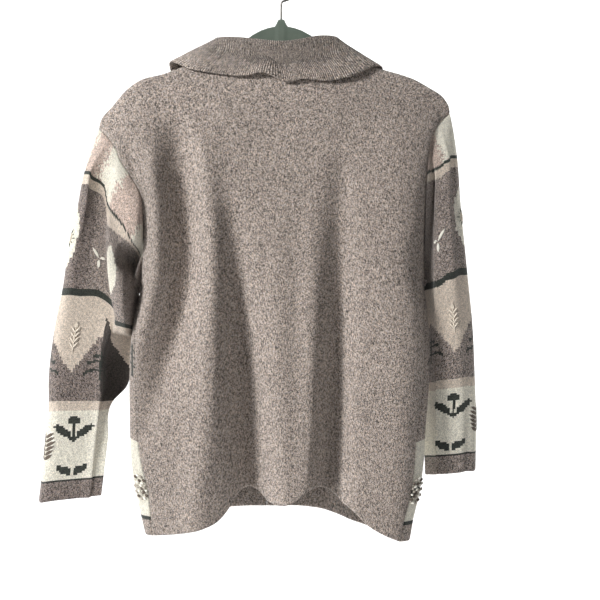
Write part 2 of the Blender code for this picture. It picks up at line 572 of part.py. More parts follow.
def meet(*outs):
    """The outward vector that passes as far through the wall of each piece at a seam."""
    normals = unit(np.array(outs))
    reach = np.linalg.lstsq(normals, np.ones(len(outs)), rcond=0.2)[0]
    return unit(reach) * min(np.linalg.norm(reach), 1 / MITRE)


def join(places):
    """Give the same point of two or three pieces one outward vector."""
    shared = meet(*[out[at] for out, at in places])
    for out, at in places:
        out[at] = shared


def triangles_of(quads, points):
    """Each quad split along its shorter diagonal."""
    triangles = []
    for a, b, c, d in quads:
        if np.linalg.norm(points[a] - points[c]) <= np.linalg.norm(points[b] - points[d]):
            triangles += [(a, b, c), (a, c, d)]
        else:
            triangles += [(a, b, d), (b, c, d)]
    return triangles


def material(name, color, roughness, metallic=0.0):
    made = bpy.data.materials.new(name)
    made.use_nodes = True
    shader = made.node_tree.nodes["Principled BSDF"]
    shader.inputs["Base Color"].default_value = (*color, 1.0)
    shader.inputs["Roughness"].default_value = roughness
    shader.inputs["Metallic"].default_value = metallic
    return made


def add_object(name, points, faces, surface):
    """A closed mesh object with its faces pointing out."""
    mesh = bpy.data.meshes.new(name)
    mesh.from_pydata((np.asarray(points) * MM).tolist(), [], faces)
    shell = bmesh.new()
    shell.from_mesh(mesh)
    if shell.calc_volume(signed=True) < 0:
        bmesh.ops.reverse_faces(shell, faces=shell.faces)
    shell.to_mesh(mesh)
    shell.free()
    mesh.shade_smooth()
    mesh.set_sharp_from_angle(angle=math.radians(50))
    mesh.materials.append(surface)
    made = bpy.data.objects.new(name, mesh)
    bpy.context.scene.collection.objects.link(made)
    return made


def add_wall(name, outer, offsets, wraps, surface, halved=()):
    """Cloth: the outer grid, the same grid one wall inside it, and the edges between them.

    halved lists the edges that meet a piece with twice as many points.
    """
    rows, columns = outer.shape[:2]
    inside = rows * columns
    quads = []
    for i in range(rows - 1):
        for j in range(columns if wraps else columns - 1):
            k = (j + 1) % columns
            quads.append((i * columns + j, i * columns + k, (i + 1) * columns + k,
                          (i + 1) * columns + j))
    faces = triangles_of(quads, outer.reshape(-1, 3))
    faces += [(a + inside, c + inside, b + inside) for a, b, c in faces]
    rims = [list(range(columns)), list(range(inside - 1, inside - 1 - columns, -1))]
    if wraps:
        rims = [rim + rim[:1] for rim in rims]
    else:
        rims.append(list(range(columns - 1, inside, columns)))
        rims.append(list(range(inside - columns, -1, -columns)))
    edges = [(b, a, a + inside, b + inside) for rim in rims for a, b in zip(rim, rim[1:])]
    wall = press_wall(outer.reshape(-1, 3), offsets.reshape(-1, 3), faces + edges)
    inner = outer.reshape(-1, 3) - wall * offsets.reshape(-1, 3)
    points = np.concatenate([outer.reshape(-1, 3), inner])
    points = list(points)
    for rim in rims:
        for a, b in zip(rim, rim[1:]):
            line = [a, b]
            if (a, b) in halved or (b, a) in halved:
                faces = halve(faces, points, a, b)
                faces = halve(faces, points, a + inside, b + inside)
                line = [a, len(points) - 2, b]
            for p, q in zip(line, line[1:]):
                under_p = p + inside if p < inside else p + 1
                under_q = q + inside if q < inside else q + 1
                faces += triangles_of([(q, p, under_p, under_q)], points)
    return add_object(name, points, faces, surface)


def press_wall(outer, offsets, faces):
    """Thickness at each point: the full wall, thinner where a tight fold would make it cross."""
    wall = np.full((len(outer), 1), WALL)
    for _ in range(PRESS_ROUNDS):
        points = np.concatenate([outer, outer - wall * offsets])
        tree = BVHTree.FromPolygons(points.tolist(), faces)
        crossed = set()
        for a, b in tree.overlap(tree):
            if not set(faces[a]) & set(faces[b]):
                crossed.update(corner % len(outer) for corner in faces[a] + faces[b])
        if not crossed:
            break
        tight = sorted(crossed)
        wall[tight] = np.maximum(wall[tight] * PRESS, THIN_WALL)
    return wall


def halve(faces, points, a, b):
    """Put a new point halfway along an edge of the one face that has it."""
    new = len(points)
    points.append(0.5 * (points[a] + points[b]))
    kept = []
    for face in faces:
        if a in face and b in face:
            kept.append(tuple(new if corner == a else corner for corner in face))
            kept.append(tuple(new if corner == b else corner for corner in face))
        else:
            kept.append(face)
    return kept


def draw_in(line, next_line, gap):
    """Move an edge a little towards the next line of points."""
    return line + gap * unit(next_line - line)


def make_body(knit):
    """Back, fronts, sleeves, collar and bands, sewn edge to edge from shared points."""
    shoulder = np.linspace(0, 1, SHOULDER_COLUMNS + 1)
    back_u = np.concatenate([
        NECK_LEFT * shoulder[:-1],
        np.linspace(NECK_LEFT, NECK_RIGHT, BACK_NECK_COLUMNS + 1),
        1 - (1 - NECK_RIGHT) * shoulder[::-1][1:],
    ])
    front_u = np.concatenate([FRONT_NECK * shoulder[:-1],
                              np.linspace(FRONT_NECK, 1, FRONT_NECK_COLUMNS + 1)])
    v = np.array(ROWS)[:, None]
    back = back_point(back_u[None, :], v)
    back_out = grid_offsets(back, False, lambda middles: np.array([0.0, -1.0, 0.0]))
    fronts, fronts_out = {}, {}
    for side in (-1, 1):
        fronts[side] = front_point(side, front_u[None, :], v)
        fronts_out[side] = grid_offsets(fronts[side], False,
                                        lambda middles: np.array([0.0, 1.0, 0.0]))

    # the shoulder seams lie on the ridge, where both panels face up
    for side in (-1, 1):
        for j in range(SHOULDER_COLUMNS + 1):
            k = j if side < 0 else -1 - j
            shared = unit(back_out[0, k]) + unit(fronts_out[side][0, j])
            shared = unit(shared * np.array([1.0, 0.0, 1.0]))
            back_out[0, k] = shared
            fronts_out[side][0, j] = shared

    # the side seams run on below the underarm
    first = len(ROWS_ABOVE) - 1
    for side in (-1, 1):
        k = 0 if side < 0 else -1
        for i in range(first + 1, len(ROWS)):
            join([(back_out, (i, k)), (fronts_out[side], (i, 0))])

    sleeves, sleeves_out = make_sleeves(back_out, fronts_out)
    collar, collar_out = make_collar(back, fronts, back_out, fronts_out)
    bands, bands_out = make_bands(fronts_out)
    trim_edges(back, fronts)

    above = len(ROWS_ABOVE)
    neck = range(SHOULDER_COLUMNS, SHOULDER_COLUMNS + BACK_NECK_COLUMNS)
    halved = edge_pairs(back, range(above - 1), 0) + edge_pairs(back, range(above - 1), -1)
    halved += [(j, j + 1) for j in neck]
    add_wall("back", back, back_out, False, knit["plain"], halved)
    for side, name in ((-1, "left"), (1, "right")):
        front = fronts[side]
        halved = edge_pairs(front, range(above - 1), 0)
        halved += [(j, j + 1) for j in range(SHOULDER_COLUMNS, front.shape[1] - 1)]
        add_wall(f"front_{name}", front, fronts_out[side], False, knit["plain"], halved)
        add_wall(f"band_{name}", bands[side], bands_out[side], False, knit["plain"])
        add_wall(f"sleeve_{name}", sleeves[side], sleeves_out[side], True, knit["sleeve"])
    add_wall("collar", collar, collar_out, False, knit["plain"])


def edge_pairs(grid, rows, column_index):
    """The edges down one side of a grid, as pairs of point numbers."""
    columns = grid.shape[1]
    j = column_index % columns
    return [(i * columns + j, (i + 1) * columns + j) for i in rows]


def trim_edges(back, fronts):
    """Leave half a seam's gap on each sewn edge of the back and the fronts."""
    for grid in (back, fronts[-1], fronts[1]):
        top = 0.5 * SEAM * unit(grid[1] - grid[0])
        first = 0.5 * SEAM * unit(grid[:, 1] - grid[:, 0])
        last = 0.5 * SEAM * unit(grid[:, -2] - grid[:, -1])
        grid[0] += top
        grid[:, 0] += first
        grid[:, -1] += last
    # on the ridge the panels part front from back
    back[0, :SHOULDER_COLUMNS + 1, 1] = -0.5 * SEAM
    back[0, -SHOULDER_COLUMNS - 1:, 1] = -0.5 * SEAM
    for side in (-1, 1):
        fronts[side][0, :SHOULDER_COLUMNS + 1, 1] = 0.5 * SEAM


def make_sleeves(back_out, fronts_out):
    """Each ring of a sleeve has two points for each row of the panels above the underarm."""
    rows = np.array(ROWS_ABOVE)
    fractions = add_halfway(rows) / UNDERARM
    count = len(fractions)
    sleeves, sleeves_out = {}, {}
    for side in (-1, 1):
        rings = []
        for s in SLEEVE_RINGS:
            back, front = sleeve_halves(side, s, fractions)
            if s == 0.0:
                for half in (back, front):
                    half[1::2] = 0.5 * (half[:-1:2] + half[2::2])
            rings.append(np.concatenate([back, front[::-1][1:-1]]))
        grid = np.array(rings)
        centres = grid.mean(axis=1, keepdims=True)
        inside = 0.5 * (centres[1:] + centres[:-1])
        out = grid_offsets(grid, True, lambda middles, inside=inside: middles - inside)
        total = len(grid[0])
        k = 0 if side < 0 else -1
        for i in range(len(rows)):
            mine = [(back_out, (i, k)), (out, (0, 2 * i))]
            if i in (0, len(rows) - 1):
                mine.append((fronts_out[side], (i, 0)))
            join(mine)
        for i in range(1, len(rows) - 1):
            join([(fronts_out[side], (i, 0)), (out, (0, total - 2 * i))])
        for j in range(1, total, 2):
            out[0, j] = 0.5 * (out[0, j - 1] + out[0, (j + 1) % total])
        grid[0] = draw_in(grid[0], grid[1], 0.5 * SEAM)
        sleeves[side], sleeves_out[side] = grid, out
    return sleeves, sleeves_out


def make_collar(back, fronts, back_out, fronts_out):
    """The collar stands on the neck edge, two of its columns for each of the panels' columns."""
    neck = slice(SHOULDER_COLUMNS, SHOULDER_COLUMNS + BACK_NECK_COLUMNS + 1)
    edge = np.concatenate([fronts[-1][0, :SHOULDER_COLUMNS - 1:-1], back[0, neck][1:],
                           fronts[1][0, SHOULDER_COLUMNS:][1:]])
    out = np.concatenate([fronts_out[-1][0, :SHOULDER_COLUMNS - 1:-1], back_out[0, neck][1:],
                          fronts_out[1][0, SHOULDER_COLUMNS:][1:]])
    centre = np.array([CENTRE_X, 0.0, 0.0])
    away = unit((edge - centre) * np.array([1.0, 1.0, 0.0]))
    out = unit(unit(out) + away)
    left = slice(0, FRONT_NECK_COLUMNS + 1)
    middle = slice(FRONT_NECK_COLUMNS, FRONT_NECK_COLUMNS + BACK_NECK_COLUMNS + 1)
    right = slice(FRONT_NECK_COLUMNS + BACK_NECK_COLUMNS, None)
    fronts_out[-1][0, :SHOULDER_COLUMNS - 1:-1] = out[left]
    back_out[0, neck] = out[middle]
    fronts_out[1][0, SHOULDER_COLUMNS:] = out[right]
    t = np.concatenate([
        np.linspace(0, 0.25, FRONT_NECK_COLUMNS + 1),
        np.linspace(0.25, 0.75, BACK_NECK_COLUMNS + 1)[1:],
        np.linspace(0.75, 1.0, FRONT_NECK_COLUMNS + 1)[1:],
    ])
    seam, out, t = [add_halfway(rows) for rows in (edge - WALL * out, out, t)]
    grid = np.array([collar_point(seam, t, w) for w in COLLAR_ROWS])
    fall = np.zeros((len(COLLAR_ROWS) - 1, 1, 1))
    fall[-1] = 1.0
    collar_out = grid_offsets(
        grid, False, lambda middles: fall * (middles - centre) * np.array([1.0, 1.0, 0.0]))
    collar_out[0] = -out
    grid[0] = draw_in(grid[0], grid[1], SEAM)
    return grid, collar_out


def add_halfway(rows):
    """The same rows with one more halfway between each two."""
    doubled = np.repeat(rows, 2, axis=0)[:-1].astype(float)
    doubled[1::2] = 0.5 * (rows[:-1] + rows[1:])
    return doubled


def make_bands(fronts_out):
    """A straight strip sewn to each front edge; the right one lies over the left one."""
    bands, bands_out = {}, {}
    for side in (-1, 1):
        near = centre_line(side, np.array(ROWS))
        far = near.copy()
        far[:, 0] = CENTRE_X - side * BAND_WIDTH / 2
        near[:, 0] -= side * SEAM / 2
        grid = np.stack([near, far], axis=1)
        out = grid_offsets(grid, False, lambda middles: np.array([0.0, 1.0, 0.0]))
        fronts_out[side][:, -1] = out[:, 0]
        bands[side], bands_out[side] = grid, out
    return bands, bands_out


def add_button(index, surface):
    """A turned button with a raised rim, on the upper band."""
    neck_z = FRONT_NECKLINE[1][-1].z
    length = neck_z - FRONT_HEM_CENTRE
    z = neck_z - BUTTON_TOP - index * BUTTON_PITCH
    down = (neck_z - z) / length
    reach = BUTTON_RADIUS / length
    under = centre_line(1, np.array([down - reach, down, down + reach]))
    seat = under[:, 1].max() + SEAM
    profile = [(0.0, 0.0), (0.85, 0.0), (1.0, 0.5), (0.88, 1.0), (0.64, 0.7), (0.0, 0.7)]
    segments = 14
    points = [(CENTRE_X, seat, z)]
    for radius, height in profile[1:-1]:
        for k in range(segments):
            turn = 2 * math.pi * k / segments
            points.append((CENTRE_X + BUTTON_RADIUS * radius * math.cos(turn),
                           seat + BUTTON_HEIGHT * height,
                           z + BUTTON_RADIUS * radius * math.sin(turn)))
    points.append((CENTRE_X, seat + BUTTON_HEIGHT * profile[-1][1], z))
    rings = len(profile) - 2
    faces = []
    for k in range(segments):
        n = (k + 1) % segments
        faces.append((0, 1 + k, 1 + n))
        for ring in range(rings - 1):
            low, high = 1 + ring * segments, 1 + (ring + 1) * segments
            faces.append((low + k, high + k, high + n, low + n))
        last = 1 + (rings - 1) * segments
        faces.append((len(points) - 1, last + n, last + k))
    return add_object(f"button_{index + 1}", points, faces, surface)


def bar_top(x):
    """The bar's upper edge: an arch inside the neck, then just under the cloth, alike each side."""
    reach = np.abs(x)
    cloth = np.minimum(ridge_height(reach), ridge_height(-reach)) - WALL - REST
    arch = look_up(BAR_ARCH, "x", "z", reach)
    blend = ease(BAR_ARCH[-2].x, BAR_ARCH[-1].x, reach)
    top = arch * (1 - blend) + cloth * blend
    neck = ease(NECK_FOOT, NECK_HALF, reach)
    return top + (NECK_TOP - top) * neck


def add_bar(surface):
    """A flat arched bar, lofted through chamfered rectangles along its length."""
    half = [0.0, NECK_HALF, 4.6, 6.2, NECK_FOOT, 18, 28, 40, 55, 72, 90, 106, 122, 140, 158, 175,
            190, 202, 210, 214, BAR_REACH]
    stations = [-x for x in half[:0:-1]] + half
    neck_height = NECK_TOP - float(bar_top(NECK_FOOT))
    points, faces = [], []
    for x in stations:
        tip = ease(BAR_REACH - BAR_TIP, BAR_REACH, abs(x))
        neck = ease(NECK_FOOT, NECK_HALF, abs(x))
        taper = ease(20, 190, abs(x))
        height = (BAR_HEIGHT + (BAR_TIP_HEIGHT - BAR_HEIGHT) * taper) * (1 - 0.55 * tip)
        height += neck_height * neck
        top = float(bar_top(x)) - 3.0 * tip
        bottom = top - height
        y = 0.5 * BAR_THICKNESS * (1 + 0.15 * neck)
        flat = y - BAR_CHAMFER
        points += [(x, -flat, top), (x, flat, top),
                   (x, y, top - BAR_CHAMFER), (x, y, bottom + BAR_CHAMFER),
                   (x, flat, bottom), (x, -flat, bottom),
                   (x, -y, bottom + BAR_CHAMFER), (x, -y, top - BAR_CHAMFER)]
    sides = 8
    for i in range(len(stations) - 1):
        for k in range(sides):
            n = (k + 1) % sides
            faces.append((i * sides + k, i * sides + n, (i + 1) * sides + n, (i + 1) * sides + k))
    faces.append(tuple(reversed(range(sides))))
    faces.append(tuple(range(len(points) - sides, len(points))))
    return add_object("hanger_bar", points, faces, surface)


def add_hook(surface):
    """A wire that stands in the bar's neck, bends aside and closes over the rod."""
    radius = HOOK_RADIUS + WIRE_RADIUS
    bend_z = -HOOK_RADIUS - radius - 4
    route = [(0.0, NECK_TOP + SEAM), (0.0, NECK_TOP + 8), (0.0, bend_z)]
    for degrees in (20, 40, 60):
        turn = math.radians(degrees)
        route.append((STEM_BEND * (1 - math.cos(turn)), bend_z + STEM_BEND * math.sin(turn)))
    for degrees in np.arange(HOOK_START, HOOK_END + 1, HOOK_STEP):
        turn = math.radians(degrees)
        route.append((radius * math.cos(turn), radius * math.sin(turn) - HOOK_RADIUS))
    curve = bpy.data.curves.new("hanger_hook", "CURVE")
    curve.dimensions = "3D"
    curve.bevel_depth = WIRE_RADIUS * MM
    curve.bevel_resolution = 2
    curve.use_fill_caps = True
    line = curve.splines.new("POLY")
    line.points.add(len(route) - 1)
    for point, (x, z) in zip(line.points, route):
        point.co = (x * MM, 0.0, z * MM, 1.0)
    curve.materials.append(surface)
    made = bpy.data.objects.new("hanger_hook", curve)
    bpy.context.scene.collection.objects.link(made)
    return made


def main():
    for old in list(bpy.data.objects):
        bpy.data.objects.remove(old, do_unlink=True)
    knit = {"plain": material("taupe_knit", (0.30, 0.26, 0.23), 0.9),
            "sleeve": material("banded_knit", (0.55, 0.51, 0.45), 0.9)}
    make_body(knit)
    button = material("button_brown", (0.10, 0.08, 0.065), 0.35)
    for index in range(BUTTON_COUNT):
        add_button(index, button)
    add_bar(material("hanger_grey", (0.12, 0.15, 0.13), 0.7))
    add_hook(material("hook_steel", (0.45, 0.46, 0.46), 0.35, 1.0))


main()
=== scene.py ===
# %% [markdown]
# # A knitted cardigan on a hanger
#
# The real thing is a heavy knitted cardigan, hung by its shoulders on a slim plastic hanger.
# The body is a flecked taupe knit; the sleeves are knitted in bands of cream, taupe and
# near black with flowers, leaves and small trees.
#
# A garment like this could be modelled flat and dropped on a hanger by a cloth simulation,
# sculpted by hand, or drawn as surfaces.  It is drawn here as surfaces: the folds are known,
# so each panel is a grid of points worked out from short tables, one grid cell to a stitch.
# That keeps every crease where it belongs and lets the pattern be charted stitch by stitch,
# as a knitter does.

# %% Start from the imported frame
import math
from collections import namedtuple
from functools import partial

import bpy
import numpy as np
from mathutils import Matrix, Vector


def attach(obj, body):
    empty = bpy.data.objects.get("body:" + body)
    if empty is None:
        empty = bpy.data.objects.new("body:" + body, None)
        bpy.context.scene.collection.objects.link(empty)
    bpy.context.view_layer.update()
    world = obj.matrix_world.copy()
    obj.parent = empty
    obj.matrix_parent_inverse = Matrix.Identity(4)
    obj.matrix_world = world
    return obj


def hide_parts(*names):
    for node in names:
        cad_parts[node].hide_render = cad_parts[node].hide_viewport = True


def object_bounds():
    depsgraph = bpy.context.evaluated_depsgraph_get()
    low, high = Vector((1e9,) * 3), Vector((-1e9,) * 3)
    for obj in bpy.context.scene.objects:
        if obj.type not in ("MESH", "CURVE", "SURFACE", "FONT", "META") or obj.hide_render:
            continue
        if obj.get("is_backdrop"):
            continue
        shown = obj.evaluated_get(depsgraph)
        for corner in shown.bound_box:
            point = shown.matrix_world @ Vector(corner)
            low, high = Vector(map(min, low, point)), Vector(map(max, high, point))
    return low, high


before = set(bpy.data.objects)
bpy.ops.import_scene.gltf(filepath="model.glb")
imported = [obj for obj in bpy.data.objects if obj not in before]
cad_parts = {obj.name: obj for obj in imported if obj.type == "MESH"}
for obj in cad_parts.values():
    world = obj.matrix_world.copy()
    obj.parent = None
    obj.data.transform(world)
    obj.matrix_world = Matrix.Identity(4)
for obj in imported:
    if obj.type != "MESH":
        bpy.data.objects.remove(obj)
cad_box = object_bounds()
MM = 0.001
print("frame nodes:", len(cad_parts))

# %% [markdown]
# The studio.  The garment hangs in front of a plain pale sweep: a floor that curves up into
# a wall, so that no line shows behind it.  The main light stands high on the left, where it
# rakes over the folds and shades their far sides.  Two weak ones keep the shade from going
# black, and one on each side lights the wall behind and leaves the cloth alone.

# %% Camera, floor and lights
VIEW_WIDTH = 0.822              # metres across the view, at the cloth
VIEW_CENTRE = (0.026, -0.448)   # across and up
CAMERA_DISTANCE = 2.6
CLOTH_PLANE = -0.03             # depth of the outer face, where the view is measured
AMBIENT = 0.035                 # strength of the light from all round
SWEEP_FLOOR = -1.25
SWEEP_RADIUS = 1.2
SWEEP_REACH = 2.5               # depth at which the floor starts to curve up
SWEEP_STEPS = 12
GARMENT_MIDDLE = (0.0, 0.0, -0.42)


def add_object(name, data):
    made = bpy.data.objects.new(name, data)
    bpy.context.scene.collection.objects.link(made)
    return made


def add_mesh(name, points, faces, surface):
    mesh = bpy.data.meshes.new(name)
    mesh.from_pydata(points, [], faces)
    mesh.shade_smooth()
    mesh.materials.append(surface)
    return add_object(name, mesh)


def give(tree, socket, value):
    """Link a socket to another one, or set it to a plain value."""
    if isinstance(value, bpy.types.NodeSocket):
        tree.links.new(value, socket)
    else:
        socket.default_value = value


def set_inputs(tree, node, **values):
    """Give a node's sockets plain values or links; an underscore stands for a space."""
    for name, value in values.items():
        give(tree, node.inputs[name.replace("_", " ")], value)
    return node


def new_material(name, **values):
    """A material, its node tree and its shader with these values."""
    made = bpy.data.materials.new(name)
    made.use_nodes = True
    tree = made.node_tree
    return made, tree, set_inputs(tree, tree.nodes["Principled BSDF"], **values)


def add_camera():
    data = bpy.data.cameras.new("camera")
    data.sensor_width = 36.0
    data.lens = data.sensor_width * (CAMERA_DISTANCE + CLOTH_PLANE) / VIEW_WIDTH
    made = add_object("camera", data)
    made.location = (VIEW_CENTRE[0], -CAMERA_DISTANCE, VIEW_CENTRE[1])
    made.rotation_euler = (math.radians(90), 0.0, 0.0)
    bpy.context.scene.camera = made


def add_light(name, place, size, power, target=GARMENT_MIDDLE):
    data = bpy.data.lights.new(name, "AREA")
    data.shape = "DISK"
    data.size = size
    data.energy = power
    made = add_object(name, data)
    made.location = place
    aim = Vector(target) - Vector(place)
    made.rotation_mode = "QUATERNION"
    made.rotation_quaternion = aim.to_track_quat("-Z", "Y")


def add_sweep():
    """A floor, a quarter turn up from it and a wall, as one smooth strip."""
    line = [(-4.0, SWEEP_FLOOR), (SWEEP_REACH, SWEEP_FLOOR)]
    for step in range(1, SWEEP_STEPS + 1):
        turn = math.radians(90 * step / SWEEP_STEPS)
        line.append((SWEEP_REACH + SWEEP_RADIUS * math.sin(turn),
                     SWEEP_FLOOR + SWEEP_RADIUS * (1 - math.cos(turn))))
    line.append((SWEEP_REACH + SWEEP_RADIUS, 3.5))
    points = [(x, y, z) for x in (-5.0, 5.0) for y, z in line]
    count = len(line)
    faces = [(i, i + 1, count + i + 1, count + i) for i in range(count - 1)]
    paper = new_material("pale_paper", Base_Color=(0.9, 0.9, 0.9, 1.0), Roughness=0.9)[0]
    add_mesh("sweep", points, faces, paper)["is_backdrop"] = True


world = bpy.data.worlds.new("studio")
bpy.context.scene.world = world
world.use_nodes = True
set_inputs(world.node_tree, world.node_tree.nodes["Background"],
           Color=(1.0, 1.0, 1.0, 1.0), Strength=AMBIENT)
bpy.context.scene.view_settings.view_transform = "Standard"
add_camera()
add_sweep()
add_light("key", (-3.05, -2.3, 1.2), 0.9, 228.0)
add_light("front_fill", (0.1, -2.7, 0.6), 1.0, 2.0)
add_light("right_fill", (2.4, -1.4, 0.4), 1.2, 3.5)
add_light("wall_left", (-2.4, 1.0, 1.5), 1.2, 105.0, (-0.5, 3.7, -0.5))
add_light("wall_right", (2.4, 1.0, 1.5), 1.2, 105.0, (0.5, 3.7, -0.5))
print("camera, sweep and", len(bpy.data.lights), "lights")

# %% [markdown]
# The shape of hung cloth.  A hung garment is flat where the hanger holds it and falls into
# soft vertical folds below.  Every panel here starts from the same few sizes: the ridge of
# the shoulders, the way the cloth falls off that ridge, and a table of folds.  The tables
# are in millimetres, measured from the top of the hook's inside; the garment's back faces -Y.

# %% Helpers for curves through a table's rows
def smooth(keys, values, at):
    """A cubic curve through numbers or points, evaluated at each place, flat past its ends."""
    keys = np.asarray(keys, float)
    values = np.asarray(values, float)
    at = np.clip(np.asarray(at, float), keys[0], keys[-1])
    slopes = np.gradient(values, keys, axis=0)
    i = np.clip(np.searchsorted(keys, at, side="right") - 1, 0, len(keys) - 2)
    # one step and one t to each place, however many numbers a value has
    shape = np.shape(at) + (1,) * (values.ndim - 1)
    step = np.reshape(keys[i + 1] - keys[i], shape)
    t = np.reshape(at - keys[i], shape) / step
    start = (1 + 2 * t) * (1 - t) ** 2 * values[i] + t * (1 - t) ** 2 * step * slopes[i]
    end = t * t * (3 - 2 * t) * values[i + 1] + t * t * (t - 1) * step * slopes[i + 1]
    return start + end


def column(rows, name):
    return np.array([getattr(row, name) for row in rows], float)


def look_up(rows, key, name, at):
    return smooth(column(rows, key), column(rows, name), at)


def ease(low, high, at):
    t = np.clip((at - low) / (high - low), 0.0, 1.0)
    return t * t * (3 - 2 * t)


def unit(vectors):
    length = np.linalg.norm(vectors, axis=-1, keepdims=True)
    return vectors / np.maximum(length, 1e-9)


def running_length(points):
    """Distance along each line of points, from zero at its first."""
    steps = np.linalg.norm(np.diff(points, axis=-2), axis=-1)
    return np.concatenate([np.zeros_like(steps[..., :1]), np.cumsum(steps, axis=-1)], axis=-1)

# %% [markdown]
# The shoulders.  The cloth rolls over the hanger along one ridge and falls away in front and
# behind; the ridge is a table of points, so both panels can meet on it exactly.

# %% The shoulder ridge and the fall of the cloth
WALL = 2.5              # knitted cloth
SEAM = 0.3              # gap between pieces that are sewn together
ROLL = 8.0              # radius of the cloth over the shoulder ridge
HANG = 50.0             # height over which the cloth falls from the ridge to its full depth
SETTLE = 30.0           # height over which the cloth takes up the ridge's unevenness
CENTRE_X = -8.0         # middle of the front bands
BAND_WIDTH = 25.0       # front bands
# the shoulder ridge seen from behind, wearer's left tip to right tip; the middle is the neck
Ridge = namedtuple("Ridge", "x z")
RIDGE = [
    Ridge(-253, -211), Ridge(-250, -199), Ridge(-232, -177), Ridge(-214, -156), Ridge(-193, -142),
    Ridge(-166, -135), Ridge(-130, -122), Ridge(-95, -108), Ridge(-50, -80), Ridge(-6, -68),
    Ridge(40, -80), Ridge(83, -106), Ridge(110, -117), Ridge(140, -128), Ridge(163, -134.5),
    Ridge(182, -141), Ridge(204, -153), Ridge(225, -167.5), Ridge(232, -179), Ridge(234, -190),
]
NECK_ENDS = {-1: Ridge(-95, -108), 1: Ridge(83, -106)}     # where the shoulders meet the neck


def ridge_height(x):
    return look_up(RIDGE, "x", "z", x)


def fall_depth(drop, depth):
    """How far the cloth stands from the ridge's plane, at a drop below the ridge."""
    inside = np.clip(drop, 0.0, ROLL)
    round_part = np.sqrt(np.maximum(ROLL ** 2 - (ROLL - inside) ** 2, 0.0))
    return round_part + (depth - ROLL) * (1 - np.exp(-np.maximum(drop, 0.0) / HANG))


def shoulder_line(side, t):
    """Points on the ridge from a shoulder tip (t = 0) to the neck (t = 1), evenly spaced."""
    rows = [row for row in RIDGE if side * (row.x - NECK_ENDS[side].x) >= 0]
    if side > 0:
        rows = rows[::-1]
    x, z = column(rows, "x"), column(rows, "z")
    length = np.concatenate([[0], np.cumsum(np.hypot(np.diff(x), np.diff(z)))])
    return smooth(length / length[-1], x, t), smooth(length / length[-1], z, t)

# %% [markdown]
# The folds.  Each row is one soft trough or ridge that runs down a panel: where it starts and
# ends, its line, its width and its depth.  A ridge has a negative depth.  The large ones
# let the light model the panel; the small ones are the drags that a knit shows beside them.

# %% Folds
# depth of the middle of the back and of the fronts
Depth = namedtuple("Depth", "down back front centre")
DEPTHS = [
    Depth(0.00, 38, 36, 42), Depth(0.12, 44, 40, 45), Depth(0.41, 52, 45, 49),
    Depth(0.70, 56, 47, 50), Depth(1.00, 58, 46, 48),
]
# folds run down a panel: x at the start, middle and end; a ridge has negative depth
Fold = namedtuple("Fold", "top bottom x0 x1 x2 width0 width1 depth0 depth1 depth2")
BACK_FOLDS = [
    Fold(-185, -650, -147, -127, -192, 21, 24, 14, 29, 10),      # trough by the left rim
    Fold(-280, -800, -71, -46, -32, 19, 27, 5, 29, 40),         # trough left of the middle
    Fold(-230, -800, 84, 78, 64, 18, 23, 6, 25, 38),            # trough right of the middle
    Fold(-215, -800, -104, -96, -118, 17, 26, -7, -17, -14),    # ridge between the left troughs
    Fold(-300, -800, -2, 2, 8, 18, 20, -2, -8, -10),            # ridge at the middle
    Fold(-300, -800, 42, 40, 34, 16, 18, -3, -10, -10),         # its right shoulder
    Fold(-190, -800, 166, 168, 164, 36, 42, -5, -15, -16),      # broad ridge on the right
    Fold(-225, -560, -176, -172, -206, 13, 14, -9, -16, -7),    # rim beside the left sleeve
    Fold(-212, -300, -211, -204, -197, 7, 6, 2, 4, 1),          # dimple at the left armhole
]
FRONT_FOLDS = {
    -1: [Fold(-230, -800, -150, -132, -120, 13, 17, -2, -10, -16),
         Fold(-300, -800, -95, -84, -70, 12, 16, 2, 7, 9)],
    1: [Fold(-250, -800, 128, 112, 96, 13, 17, -2, -9, -17),
        Fold(-330, -800, 80, 66, 58, 12, 15, 2, 6, 9)],
}
FADE_IN = (20.0, 60.0)          # a fold fades in from this far above its top to this far below
FADE_OUT = (40.0, 20.0)         # and out from this far above its bottom to this far below


def fold_offset(folds, x, z):
    total = np.zeros(np.broadcast(x, z).shape)
    for fold in folds:
        down = np.clip((fold.top - z) / (fold.top - fold.bottom), 0.0, 1.0)
        middle = smooth((0, 0.5, 1), (fold.x0, fold.x1, fold.x2), down)
        width = fold.width0 + (fold.width1 - fold.width0) * down
        depth = smooth((0, 0.5, 1), (fold.depth0, fold.depth1, fold.depth2), down)
        shown = ease(fold.top + FADE_IN[0], fold.top - FADE_IN[1], z)
        shown = shown * ease(fold.bottom - FADE_OUT[1], fold.bottom + FADE_OUT[0], z)
        total = total + shown * depth * np.exp(-((x - middle) / width) ** 2)
    return total

# %% [markdown]
# The back is one panel.  Its columns run from the shoulder or the neck down to the hem and
# close up beside the armholes, as the stitches of a dropped shoulder do when it hangs.

# %% The back
UNDERARM = 0.41         # as a fraction of the way from the shoulder to the hem
WRAP_ROWS = (0.345, 0.475)  # the rows over which the fronts begin to wrap the back
NECK_LEFT = 0.355       # where the neck starts and ends, as fractions of the back's width
NECK_RIGHT = 0.671
BACK_NECK_DROP = 127.0  # below the origin, at the middle of the back
NECK_ROUND = 0.8        # below 1, the neck's curve is fuller than a sine
EDGE_REACH = 0.3        # the part of the back's width over which an edge bends its depth
EDGE_CURVE = {-1: 2.4, 1: 3.4}  # how quickly that dies away
